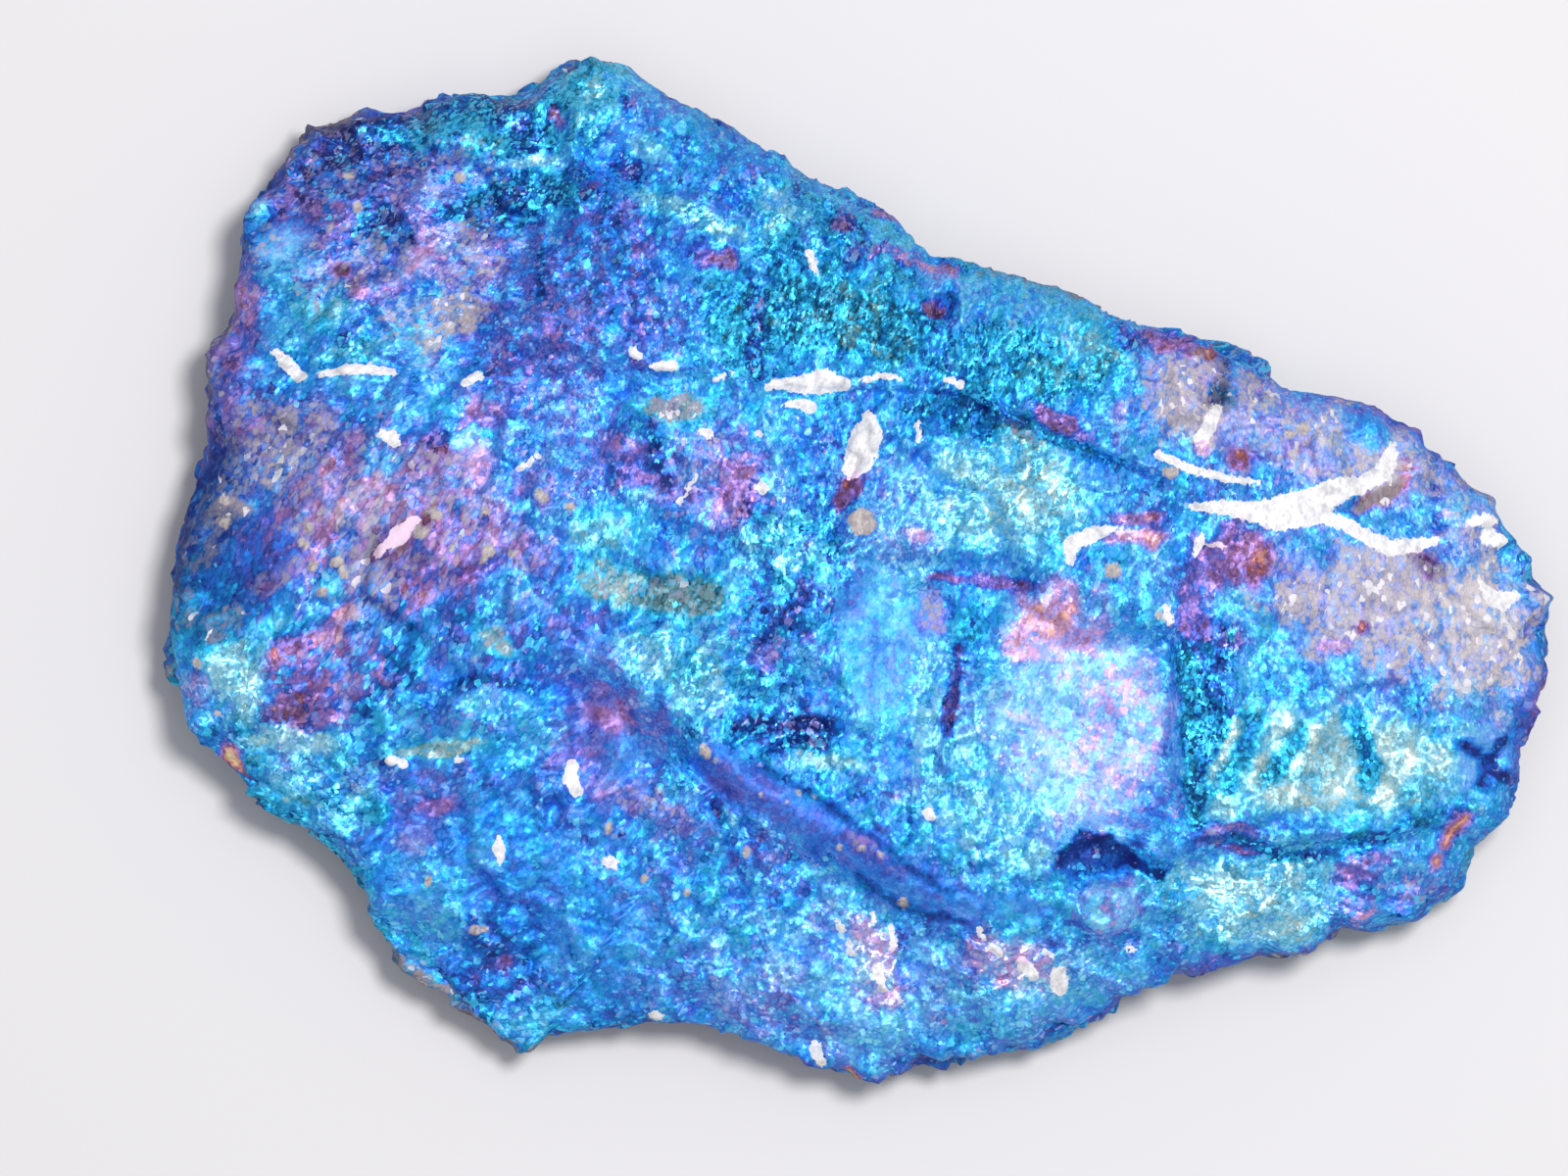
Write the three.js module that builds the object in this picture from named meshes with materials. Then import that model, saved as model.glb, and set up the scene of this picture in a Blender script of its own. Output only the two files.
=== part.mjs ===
// A hand specimen of peacock ore: one broken slab of tarnished copper ore, lying on its back.
// Units are millimetres, +Z is up. The origin is on the resting plane, under the middle of the slab.
//
// The stone is one closed surface made of two sheets. The shell starts at the middle of the top,
// runs out over the broken upper face, down the wall and in under the stone to the foot. The foot
// is the small flat spot that the stone rests on. The shell is a square grid wrapped on the stone,
// so its surface is a function of two parameters.

import * as THREE from "three";
import { mergeGeometries, mergeVertices } from "three/addons/utils/BufferGeometryUtils.js";

// ---------------------------------------------------------------- driving dimensions

const GRID_STEPS = 66; // squares along each side of the wrapped grid
const TOP_SHARE = 0.71; // share of the grid's reach that covers the upper face
const WIDEST_SHARE = 0.82; // where the stone is widest; the rest curls in to the foot
const EDGE_SQUARENESS = 6; // how square the shoulder between upper face and wall is
const WAIST_HEIGHT = 9.5; // height of the widest line over the resting plane
const WAIST_WANDER = 3.5; // how far that line climbs and dips
const FOOT_SHARE = 0.42; // the foot's reach, as a share of the outline's
const FOOT_WANDER = 0.08;
const PLANE_BLEND = 0.7; // rounding where two broken planes meet
const NARROWEST_STEP = 5; // narrower steps would fall between the grid's lines
const NARROWEST_CREST = 3;

// Chips are blended random facets: cell is their size, depth the height of their relief, and a
// higher crisp gives sharper creases between them.
const TOP_CHIPS = [
  { cell: 17, depth: 3.6, seed: 11, crisp: 14 },
  { cell: 7.5, depth: 2.8, seed: 12, crisp: 18 },
];
const WALL_CHIPS = [
  { cell: 15, depth: 6, seed: 21, crisp: 14 },
  { cell: 7, depth: 2.8, seed: 22, crisp: 16 },
];
const UNDER_CHIPS = [
  { cell: 21, depth: 7, seed: 25, crisp: 8 },
];
const WALL_INSET = 0.5; // brings the wall's relief inside the outline
const WALL_CAP = 0.4; // the most that the wall's relief stands out

// The outline seen from above, clockwise from the left end.
const OUTLINE = [
  [-84.8, -9.4], [-84, -1.6], [-82.5, 5.9], [-79.8, 15.9], [-80, 20.5], [-79.9, 25.2],
  [-76.5, 32], [-74.6, 38.6], [-74.9, 40.5], [-73.1, 45.4], [-69.5, 50.8], [-66.7, 54.8],
  [-65.5, 54.2], [-59.9, 57], [-49.6, 59.2], [-42.2, 58.7], [-38.9, 60.6], [-37.8, 62],
  [-32.3, 63.1], [-27.1, 61.4], [-21.1, 57.7], [-13.9, 53.3], [-8.7, 51.2], [-7.8, 49.8],
  [-0.8, 47.3], [3.6, 44.7], [8.6, 39.5], [15.1, 37.2], [27.7, 33.3], [30.1, 31.9],
  [41.6, 29.4], [50.2, 25.8], [52.9, 23], [59.6, 21.4], [65.7, 19.5], [69.5, 17.3],
  [70.1, 15.5], [74.3, 13.7], [75.4, 11], [78, 9.3], [81.6, 4], [82.8, -0.7],
  [84.9, -2.9], [84.2, -7], [84.3, -12.2], [81.7, -20], [80.7, -26.3], [78.9, -30.8],
  [76.6, -32.8], [74.1, -38.3], [69.3, -42.2], [63.5, -43.9], [59.9, -43.6], [54.8, -46.5],
  [49.3, -47], [39.2, -49.6], [33.1, -51.8], [31.7, -53.5], [22.5, -57.7], [10.6, -60.5],
  [8.2, -59.6], [2.7, -63.1], [-4.2, -61.6], [-12, -57.6], [-20.8, -55.1], [-26.9, -55.2],
  [-38, -56.3], [-39.4, -58.2], [-41.7, -58.7], [-45.2, -56.4], [-48.8, -52.3], [-55.8, -48.1],
  [-59, -43.7], [-60.6, -39.5], [-66.9, -31.7], [-73.9, -27.5], [-80.4, -21.1], [-83.5, -15.2],
];

// The broken planes of the upper face. Each passes through at and leans by lean, in mm of rise
// per mm along X and Y. The stone lies under all of them.
const PLANES = [
  { name: "table", at: [0, 10, 27.5], lean: [-0.02, 0.01] },
  { name: "right end", at: [50, 0, 26.5], lean: [-0.2, 0.03] },
  { name: "upper left shoulder", at: [-35, 38, 26.6], lean: [0.1, -0.2] },
  { name: "left end", at: [-62, 0, 25.5], lean: [0.32, 0.02] },
  { name: "front left bevel", at: [-34, -7, 27.6], lean: [0.15, 0.22] },
  { name: "front bevel", at: [30, -36, 26], lean: [-0.02, 0.4] },
  { name: "upper edge", at: [24, 30, 26.6], lean: [-0.2, -0.42] },
  { name: "lower left corner", at: [-60, -26, 20.5], lean: [0.16, 0.32] },
];

// Steps in the upper face. The low side is on the right of the way the path runs. The face drops
// within width of the path, and climbs back to its own level over reach.
const LEDGES = [
  {
    name: "front scarp",
    path: [[-34, -6], [-24, -16.5], [-16.5, -24], [-4, -32], [8, -38.2], [18, -40.5]],
    drop: 2.8, width: 4.8, reach: 20,
  },
  {
    name: "lower right ledge",
    path: [[35, -35], [45, -32], [56, -31.5], [66, -31], [77, -28.6]],
    drop: 2.4, width: 2.4, reach: 15,
  },
  { name: "panel step", path: [[39.2, -5], [39.8, -19], [40.6, -32]], drop: 3, width: 2, reach: 15 },
  {
    name: "middle crease",
    path: [[13.3, -0.5], [12.2, -7], [12.8, -14], [10.8, -21.5], [9.5, -27]],
    drop: 1.7, width: 1.3, reach: 10,
  },
  { name: "fold below the vein", path: [[14, 22.5], [22, 19.3], [30.7, 15], [39, 11.5]], drop: 2, width: 1.6, reach: 12 },
  { name: "crack by the green patch", path: [[-26, 24], [-28.5, 18.5], [-30.5, 12]], drop: 1.8, width: 1.2, reach: 9 },
  { name: "drop under the white patch", path: [[2, 13.6], [-1.2, 10], [-4.2, 5.5]], drop: 1.6, width: 1.8, reach: 8 },
  { name: "west slope", path: [[-31, 54], [-30, 38], [-30, 22]], drop: 3, width: 15, reach: 60 },
  {
    name: "vein step",
    path: [[-71, 25.5], [-55, 24], [-45, 23.5], [-33, 26], [-18, 24.5], [-5, 23], [15, 22.5]],
    drop: 1, width: 1, reach: 8,
  },
];

// Hollows, lumps and bosses: elliptical, with half-widths radii and their first axis turned by
// turn degrees. A hollow has a crisp rim, like the scar of a lost flake.
const HOLLOWS = [
  { name: "bowl behind the scarp", at: [-9.5, -17.5], radii: [14, 8.5], turn: -38, depth: 2.6 },
  { name: "alcove", at: [30, -35.4], radii: [6.4, 3.6], turn: 0, depth: 2.6 },
  { name: "panel", at: [27, -19], radii: [12.8, 17], turn: 0, depth: 2 },
  { name: "overhung pocket", at: [12.5, 19.2], radii: [5.2, 3.2], turn: 8, depth: 2.1 },
  { name: "smooth blue face", at: [4, -10], radii: [6, 13], turn: 4, depth: 0.9 },
  { name: "round lower hollow", at: [-40, -46], radii: [6, 6.4], turn: 0, depth: 1.8 },
  { name: "crossed pit", at: [77, -23], radii: [3.6, 3.8], turn: 0, depth: 1.3 },
  { name: "top hollow", at: [-29, 50.2], radii: [5.4, 3.4], turn: -15, depth: 2.2 },
  { name: "corner hollow", at: [-64, 50.5], radii: [5.4, 4.2], turn: 25, depth: 1.7 },
  { name: "shoulder hollow", at: [-58, 40], radii: [6.6, 4.4], turn: 25, depth: 1.4 },
  { name: "right bay", at: [60, -23.5], radii: [9.5, 5.6], turn: -6, depth: 1.7 },
];
const LUMPS = [
  { name: "top knob", at: [-33, 57.5], radii: [8, 6], turn: 0, depth: 2.4 },
  { name: "boss below the alcove", at: [30.6, -41.2], radii: [5, 4.4], turn: 0, depth: 2.6 },
  { name: "upper lump", at: [-4, 41.5], radii: [7, 5.4], turn: -20, depth: 1.7 },
  { name: "second upper lump", at: [3.5, 34], radii: [5, 4], turn: 15, depth: 1.2 },
  { name: "teal dome", at: [20, 11], radii: [10, 7.6], turn: -12, depth: 1.6 },
  { name: "speckled rise", at: [-21, -12.5], radii: [8.5, 5], turn: -42, depth: 1 },
  { name: "front swell", at: [-2, -52], radii: [14, 6.5], turn: -8, depth: 1.4 },
];

// Places where the chips of the face are fainter: ease is how much, from 0 to 1.
const SMOOTH_PLACES = [
  { name: "panel", at: [27, -19], radii: [12, 14], turn: 0, ease: 0.6 },
  { name: "smooth blue face", at: [3, -9], radii: [5.5, 11], turn: 4, ease: 0.7 },
  { name: "scarp face", at: [-4, -31.5], radii: [19, 3.2], turn: -33, ease: 0.7 },
  { name: "scarp face, left", at: [-27, -16], radii: [9, 4], turn: -45, ease: 0.5 },
  { name: "left facet", at: [-70, 40.5], radii: [3.6, 3], turn: -10, ease: 0.9 },
  { name: "smooth left slope", at: [-74, 1], radii: [7, 5], turn: 0, ease: 0.6 },
  { name: "boss", at: [30.5, -41], radii: [4, 3], turn: 0, ease: 0.5 },
];

// Crests that stand on the face.
const CRESTS = [
  { name: "scarp crest", path: [[-34, -6], [-16, -23], [-3.5, -31], [9, -37.4]], rise: 0.6, width: 1.6 },
  { name: "lower right crest", path: [[61, -38.6], [70, -34], [76, -30.6]], rise: 0.9, width: 1.1 },
];

// ---------------------------------------------------------------- small maths

const mix = (a, b, s) => a + (b - a) * s;
const clamp01 = (s) => Math.min(1, Math.max(0, s));

function smoothstep(low, high, value) {
  const s = clamp01((value - low) / (high - low));
  return s * s * (3 - 2 * s);
}

// A number from 0 to 1 that depends only on a lattice point and a seed.
function hash(ix, iy, iz, seed) {
  let h = Math.imul(ix, 0x8da6b343) ^ Math.imul(iy, 0xd8163841);
  h ^= Math.imul(iz, 0xcb1ab31f) ^ Math.imul(seed, 0x9e3779b1);
  h = Math.imul(h ^ (h >>> 15), 0x2c1b3c6d);
  h = Math.imul(h ^ (h >>> 12), 0x297a2d39);
  h ^= h >>> 15;
  return (h >>> 0) / 4294967296;
}

// Relief like chipped stone, from about -0.5 to 0.5. Every lattice cell holds one random point
// with a randomly leaning plane through it, and near points count far more than distant ones.
function chips(x, y, z, { cell, seed, crisp }) {
  const px = x / cell;
  const py = y / cell;
  const pz = z / cell;
  let total = 0;
  let weights = 0;
  for (let i = Math.floor(px) - 1; i <= Math.floor(px) + 1; i++) {
    for (let j = Math.floor(py) - 1; j <= Math.floor(py) + 1; j++) {
      for (let k = Math.floor(pz) - 1; k <= Math.floor(pz) + 1; k++) {
        const dx = px - i - hash(i, j, k, seed);
        const dy = py - j - hash(i, j, k, seed + 101);
        const dz = pz - k - hash(i, j, k, seed + 202);
        const plane =
          dx * (hash(i, j, k, seed + 303) - 0.5) +
          dy * (hash(i, j, k, seed + 404) - 0.5) +
          dz * (hash(i, j, k, seed + 505) - 0.5);
        const level = 0.5 * (hash(i, j, k, seed + 606) - 0.5);
        const weight = Math.exp(-crisp * (dx * dx + dy * dy + dz * dz));
        total += weight * (plane + level);
        weights += weight;
      }
    }
  }
  return total / weights;
}

const relief = (x, y, z, layers) =>
  layers.reduce((sum, layer) => sum + layer.depth * chips(x, y, z, layer), 0);

// The nearest point of a path: the distance to it, positive on the right of the way the path
// runs, and how far along the path it is, from 0 to 1.
function alongPath(x, y, path) {
  const lengths = path.slice(1).map(([bx, by], i) => Math.hypot(bx - path[i][0], by - path[i][1]));
  const whole = lengths.reduce((sum, length) => sum + length, 0);
  let best = { distance: Infinity, side: 1, share: 0 };
  let passed = 0;
  lengths.forEach((length, i) => {
    const [ax, ay] = path[i];
    const ux = (path[i + 1][0] - ax) / length;
    const uy = (path[i + 1][1] - ay) / length;
    const run = Math.min(length, Math.max(0, (x - ax) * ux + (y - ay) * uy));
    const distance = Math.hypot(x - ax - run * ux, y - ay - run * uy);
    if (distance < best.distance) {
      const side = (x - ax) * uy - (y - ay) * ux >= 0 ? 1 : -1;
      best = { distance, side, share: (passed + run) / whole };
    }
    passed += length;
  });
  return best;
}

const fadeAtEnds = (share, fade) => smoothstep(0, fade, share) * smoothstep(1, 1 - fade, share);

// ---------------------------------------------------------------- the upper face

function ledgeHeight(x, y, { path, drop, width, reach }) {
  const { distance, side, share } = alongPath(x, y, path);
  if (side < 0) return 0;
  const step = smoothstep(0, Math.max(width, NARROWEST_STEP), distance);
  return -drop * step * Math.exp(-((distance / reach) ** 2)) * fadeAtEnds(share, 0.15);
}

function crestHeight(x, y, { path, rise, width }) {
  const { distance, share } = alongPath(x, y, path);
  return rise * Math.exp(-((distance / Math.max(width, NARROWEST_CREST)) ** 2)) * fadeAtEnds(share, 0.1);
}

// Distance from an ellipse's middle in units of its radius: 1 on its rim.
function ellipseMeasure(x, y, { at, radii, turn }) {
  const angle = THREE.MathUtils.degToRad(turn);
  const dx = x - at[0];
  const dy = y - at[1];
  const u = (dx * Math.cos(angle) + dy * Math.sin(angle)) / radii[0];
  const v = (dy * Math.cos(angle) - dx * Math.sin(angle)) / radii[1];
  return Math.hypot(u, v);
}

// 1 at the middle of an ellipse, 0 on its rim and outside.
const dome = (x, y, ellipse) => Math.max(0, 1 - ellipseMeasure(x, y, ellipse) ** 2);

// How strong the chips of the face are: 1 where it's rugged, less in the smooth places.
const ruggedness = (x, y) =>
  1 - Math.max(...SMOOTH_PLACES.map((p) => p.ease * smoothstep(1.2, 0.7, ellipseMeasure(x, y, p))));

function lumpHeight(x, y, lump) {
  const swell = dome(x, y, lump);
  return lump.depth * swell * swell * (3 - 2 * swell);
}

// Height of the upper face. Where planes meet, the lowest wins, with a small rounding.
function topHeight(x, y) {
  const heights = PLANES.map(({ at, lean }) => at[2] + lean[0] * (x - at[0]) + lean[1] * (y - at[1]));
  const soft = heights.reduce((sum, height) => sum + Math.exp(-height / PLANE_BLEND), 0);
  let height = -PLANE_BLEND * Math.log(soft);
  LEDGES.forEach((ledge) => (height += ledgeHeight(x, y, ledge)));
  HOLLOWS.forEach((hollow) => (height -= hollow.depth * dome(x, y, hollow)));
  LUMPS.forEach((lump) => (height += lumpHeight(x, y, lump)));
  CRESTS.forEach((crest) => (height += crestHeight(x, y, crest)));
  return height;
}

// ---------------------------------------------------------------- the wrapped shell

const OUTLINE_ANGLES = OUTLINE.map(([x, y]) => Math.atan2(y, x));

// The outline's radius at an angle, from the triangle of the origin and one outline edge.
function outlineRadius(angle) {
  const turn = 2 * Math.PI;
  const count = OUTLINE.length;
  for (let i = 0; i < count; i++) {
    const next = (i + 1) % count;
    const span = (OUTLINE_ANGLES[i] - OUTLINE_ANGLES[next] + turn) % turn;
    const into = (OUTLINE_ANGLES[i] - angle + 2 * turn) % turn;
    if (into > span) continue;
    const [ax, ay] = OUTLINE[i];
    const [bx, by] = OUTLINE[next];
    return (ax * by - ay * bx) / (Math.cos(angle) * (by - ay) - Math.sin(angle) * (bx - ax));
  }
  throw new Error("the outline leaves a gap at angle " + angle);
}

// A slow wave round the stone, from -1 to 1.
const wander = (angle, phase) =>
  0.5 * Math.sin(2 * angle + phase) + 0.3 * Math.sin(5 * angle + 2 * phase) + 0.2 * Math.sin(9 * angle + 3 * phase);

// The shell at an angle round the stone and a travel along its profile: 0 at the middle of the
// top, 1 at the shoulder, 2 at the waist, where the stone is widest, and 3 at the foot's rim.
function shellPoint(angle, travel) {
  const radius = outlineRadius(angle);
  const cos = Math.cos(angle);
  const sin = Math.sin(angle);
  const waist = WAIST_HEIGHT + WAIST_WANDER * wander(angle, 0.8);
  let across;
  let z;
  if (travel <= 2) {
    const outward = Math.min(travel, 1);
    const upward = Math.min(2 - travel, 1);
    const norm = (outward ** EDGE_SQUARENESS + upward ** EDGE_SQUARENESS) ** (1 / EDGE_SQUARENESS);
    across = outward / norm;
    z = mix(waist, topHeight(across * radius * cos, across * radius * sin), upward / norm);
  } else {
    const curl = (Math.PI / 2) * (travel - 2);
    const foot = FOOT_SHARE + FOOT_WANDER * wander(angle, 2.1);
    across = mix(foot, 1, Math.cos(curl));
    z = waist * (1 - Math.sin(curl));
  }
  const x = across * radius * cos;
  const y = across * radius * sin;

  // The relief stands on the upper face, leans outward round the wall and down under it, and
  // dies out at the foot.
  const tilt = (Math.PI / 2) * (smoothstep(0.9, 2, travel) + 0.7 * smoothstep(2, 3, travel));
  const onTop = clamp01(Math.cos(tilt));
  const below = smoothstep(2, 2.5, travel);
  const wall = Math.min(relief(x, y, z, WALL_CHIPS) - WALL_INSET, WALL_CAP);
  const side = mix(wall, relief(x, y, z, UNDER_CHIPS), below);
  const top = relief(x, y, z, TOP_CHIPS) * ruggedness(x, y);
  const rough = mix(side, top, onTop) * (1 - smoothstep(2.7, 3, travel));
  const lean = rough * Math.sin(tilt);
  return [x + lean * cos, y + lean * sin, Math.max(0, z + rough * Math.cos(tilt))];
}

// How far along the profile a ring of the grid lies, from its reach between 0 and 1.
function travelAt(reach) {
  if (reach <= TOP_SHARE) return reach / TOP_SHARE;
  if (reach <= WIDEST_SHARE) return 1 + (reach - TOP_SHARE) / (WIDEST_SHARE - TOP_SHARE);
  return 2 + (reach - WIDEST_SHARE) / (1 - WIDEST_SHARE);
}

// Wraps the square from -1 to 1 round the stone: rings of the square become rings of the shell.
// Gives the angle and travel of a point of the square.
function wrapSquare(a, b) {
  if (a === 0 && b === 0) return [0, 0];
  const quarter = Math.PI / 4;
  if (Math.abs(a) >= Math.abs(b)) {
    return [quarter * (b / a) + (a < 0 ? Math.PI : 0), travelAt(Math.abs(a))];
  }
  return [2 * quarter - quarter * (a / b) + (b < 0 ? Math.PI : 0), travelAt(Math.abs(b))];
}

function shellSheet() {
  const sheet = new THREE.PlaneGeometry(2, 2, GRID_STEPS, GRID_STEPS);
  const position = sheet.getAttribute("position");
  for (let i = 0; i < position.count; i++) {
    position.setXYZ(i, ...shellPoint(...wrapSquare(position.getX(i), position.getY(i))));
  }
  sheet.setIndex(shortDiagonals(position));
  return sheet;
}

// Splits every square of the grid along its shorter diagonal, which keeps the facets well shaped.
function shortDiagonals(position) {
  const at = (i) => new THREE.Vector3().fromBufferAttribute(position, i);
  const width = GRID_STEPS + 1;
  const index = [];
  for (let row = 0; row < GRID_STEPS; row++) {
    for (let column = 0; column < GRID_STEPS; column++) {
      const a = row * width + column;
      const [b, c, d] = [a + width, a + width + 1, a + 1];
      const cutAC = at(a).distanceTo(at(c)) < at(b).distanceTo(at(d));
      index.push(...(cutAC ? [a, b, c, a, c, d] : [a, b, d, b, c, d]));
    }
  }
  return index;
}

// The flat foot, which faces down and shares its rim with the shell.
function footSheet() {
  const rim = new THREE.Shape();
  const side = GRID_STEPS;
  const square = [];
  for (let i = 0; i < side; i++) square.push([-1 + (2 * i) / side, -1]);
  for (let i = 0; i < side; i++) square.push([1, -1 + (2 * i) / side]);
  for (let i = 0; i < side; i++) square.push([1 - (2 * i) / side, 1]);
  for (let i = 0; i < side; i++) square.push([-1, 1 - (2 * i) / side]);
  rim.setFromPoints(
    square.map(([a, b]) => {
      const [x, y] = shellPoint(...wrapSquare(a, b));
      return new THREE.Vector2(x, y);
    }),
  );
  const sheet = new THREE.ShapeGeometry(rim);
  const index = sheet.index.array;
  for (let i = 0; i < index.length; i += 3) {
    [index[i + 1], index[i + 2]] = [index[i + 2], index[i + 1]];
  }
  return sheet;
}

// ---------------------------------------------------------------- the stone

function stoneGeometry() {
  const sheets = [shellSheet(), footSheet()].map((sheet) => {
    sheet.deleteAttribute("normal");
    sheet.deleteAttribute("uv");
    return sheet;
  });
  const stone = mergeVertices(mergeGeometries(sheets), 1e-3);
  stone.computeBoundingBox();
  const middle = stone.boundingBox.getCenter(new THREE.Vector3());
  stone.translate(-middle.x, -middle.y, 0);
  stone.computeVertexNormals();
  return stone;
}

const peacockTarnish = new THREE.MeshStandardMaterial({
  color: new THREE.Color(0.06, 0.28, 0.62),
  roughness: 0.35,
  metalness: 0.85,
  flatShading: true,
});

const stone = new THREE.Mesh(stoneGeometry(), peacockTarnish);
stone.name = "ore_slab";

const specimen = new THREE.Group();
specimen.add(stone);

export default specimen;
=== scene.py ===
"""A rough slab of peacock ore, laid out as a Blender add-on.

The stone is one closed surface: a square grid wrapped on the slab, with rings that close its foot.
Sizes in the tables are millimetres in the stone's own frame, and meshes are metres.
"""

import math

import bpy
import numpy as np
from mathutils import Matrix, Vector


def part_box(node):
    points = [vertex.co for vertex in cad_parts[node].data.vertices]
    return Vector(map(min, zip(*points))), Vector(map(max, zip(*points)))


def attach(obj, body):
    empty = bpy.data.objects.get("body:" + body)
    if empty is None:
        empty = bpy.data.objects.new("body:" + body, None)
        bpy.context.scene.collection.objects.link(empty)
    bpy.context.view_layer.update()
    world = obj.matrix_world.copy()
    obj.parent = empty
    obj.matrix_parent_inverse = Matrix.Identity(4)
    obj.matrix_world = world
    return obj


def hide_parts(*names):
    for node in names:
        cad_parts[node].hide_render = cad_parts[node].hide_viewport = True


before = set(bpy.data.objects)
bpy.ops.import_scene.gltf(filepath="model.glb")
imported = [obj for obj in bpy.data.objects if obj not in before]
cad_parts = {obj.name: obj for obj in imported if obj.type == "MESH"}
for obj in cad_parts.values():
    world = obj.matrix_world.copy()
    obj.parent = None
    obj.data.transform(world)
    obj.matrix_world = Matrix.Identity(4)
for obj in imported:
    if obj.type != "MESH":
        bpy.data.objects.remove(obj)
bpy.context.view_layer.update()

bl_info = {
    "name": "Peacock Ore Slab",
    "version": (1, 0, 0),
    "blender": (4, 5, 0),
    "location": "3D View > Sidebar > Peacock Ore",
    "description": "Makes a rough slab of peacock ore with tarnish, veins, ledges and hollows",
    "category": "Add Mesh",
}

MM = 0.001

# ---------------------------------------------------------------- the form of the slab

EDGE_SQUARENESS = 6  # how square the shoulder between upper face and wall is
WAIST_HEIGHT = 9.5  # height of the widest line over the resting plane
WAIST_WANDER = 3.5
FOOT_SHARE = 0.42  # the foot's reach, as a share of the outline's
FOOT_WANDER = 0.08
PLANE_BLEND = 0.7  # rounding where two broken planes meet
WANDER_SINES = ((0.5, 2, 1), (0.3, 5, 2), (0.2, 9, 3))  # share, waves round the stone, phases

# Travel runs from 0 at the middle of the top to 1 at the shoulder, 2 at the waist, 3 at the foot.
TRAVEL_SHARES = ((0.0, 0.0), (0.77, 1.0), (0.89, 2.0), (1.0, 3.0))
FOOT_RINGS = 4

# Chips are blended random facets: cell is their size, depth their relief, stretch how much longer
# they are along the grain of the stone than across it, and crisp how sharply they meet. On the
# upper face, tone and hue are how much a chip's finish differs from its neighbours'.
TOP_CHIPS = (
    dict(cell=17, depth=3.6, seed=11, crisp=14, tone=0.1, hue=0.04),
    dict(cell=7.5, depth=2.8, seed=12, crisp=18, tone=0.19, hue=0.07),
    dict(cell=3.3, depth=2.0, seed=13, stretch=1.15, crisp=32, tone=0.26, hue=0.07),
    dict(cell=1.5, depth=0.9, seed=14, stretch=1.15, crisp=36, tone=0.2, hue=0.05),
)
WALL_CHIPS = (
    dict(cell=15, depth=6, seed=21, crisp=14),
    dict(cell=7, depth=2.8, seed=22, crisp=16),
)
SMALL_WALL_CHIPS = (
    dict(cell=3.3, depth=1.2, seed=23, crisp=24),
    dict(cell=1.6, depth=0.65, seed=24, crisp=24),
)
UNDER_CHIPS = (
    dict(cell=21, depth=7, seed=25, crisp=8),
    dict(cell=6, depth=1.8, seed=26, crisp=16),
    dict(cell=2.8, depth=0.8, seed=27, crisp=18),
)
TOP_INSET = 0.2  # brings the upper face's peaks down
WALL_INSET = 0.5  # brings the wall's relief inside the outline
WALL_CAP = 0.4  # the most that the wall's large chips stand out
LEAN_STARTS = 0.9  # travel where the relief begins to lean outwards from up
LEAN_BELOW = 0.7  # share of a quarter turn that it leans further under the stone
UNDER_STARTS, UNDER_FULL = 2, 2.5  # travel over which the underside's chips take over
RELIEF_ENDS = 2.7  # travel from which the relief falls, to none at the foot
CRUMB_HEIGHT, WHITE_HEIGHT = 0.5, 0.25  # how proud crumbs and white marks stand
FAR = 9.0  # a distance, in mm, past the reach of any mark
MARK_REACH = 3.0  # how far off its edge, in mm, a mark's distance is kept
MARKS_END = (1.6, 1.2)  # travel over which white marks and crumbs fade towards the wall
HASH_STEP = 101  # between the seeds of a chip's random numbers
GRAIN_CENTRE = (60.0, 171.0)  # the grain's streaks all point to this far place
GRAIN_REACH = 210.0
LEFT_MIDDLE = -125.0  # where, across the grain, the long flakes on the left have their middle
LEFT_SPREAD = 27.0  # how far they spread from it
LEFT_SQUEEZE = 0.42  # how much shorter along is there, which makes the flakes longer
HEIGHT_SQUEEZE = 3  # stretched chips run this much further down than across

# The outline seen from above, clockwise from the left end.
OUTLINE = np.array([
    (-84.8, -9.4), (-84, -1.6), (-82.5, 5.9), (-79.8, 15.9), (-80, 20.5), (-79.9, 25.2),
    (-76.5, 32), (-74.6, 38.6), (-74.9, 40.5), (-73.1, 45.4), (-69.5, 50.8), (-66.7, 54.8),
    (-65.5, 54.2), (-59.9, 57), (-49.6, 59.2), (-42.2, 58.7), (-38.9, 60.6), (-37.8, 62),
    (-32.3, 63.1), (-27.1, 61.4), (-21.1, 57.7), (-13.9, 53.3), (-8.7, 51.2), (-7.8, 49.8),
    (-0.8, 47.3), (3.6, 44.7), (8.6, 39.5), (15.1, 37.2), (27.7, 33.3), (30.1, 31.9),
    (41.6, 29.4), (50.2, 25.8), (52.9, 23), (59.6, 21.4), (65.7, 19.5), (69.5, 17.3),
    (70.1, 15.5), (74.3, 13.7), (75.4, 11), (78, 9.3), (81.6, 4), (82.8, -0.7),
    (84.9, -2.9), (84.2, -7), (84.3, -12.2), (81.7, -20), (80.7, -26.3), (78.9, -30.8),
    (76.6, -32.8), (74.1, -38.3), (69.3, -42.2), (63.5, -43.9), (59.9, -43.6), (54.8, -46.5),
    (49.3, -47), (39.2, -49.6), (33.1, -51.8), (31.7, -53.5), (22.5, -57.7), (10.6, -60.5),
    (8.2, -59.6), (2.7, -63.1), (-4.2, -61.6), (-12, -57.6), (-20.8, -55.1), (-26.9, -55.2),
    (-38, -56.3), (-39.4, -58.2), (-41.7, -58.7), (-45.2, -56.4), (-48.8, -52.3), (-55.8, -48.1),
    (-59, -43.7), (-60.6, -39.5), (-66.9, -31.7), (-73.9, -27.5), (-80.4, -21.1), (-83.5, -15.2),
], float)

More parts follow.
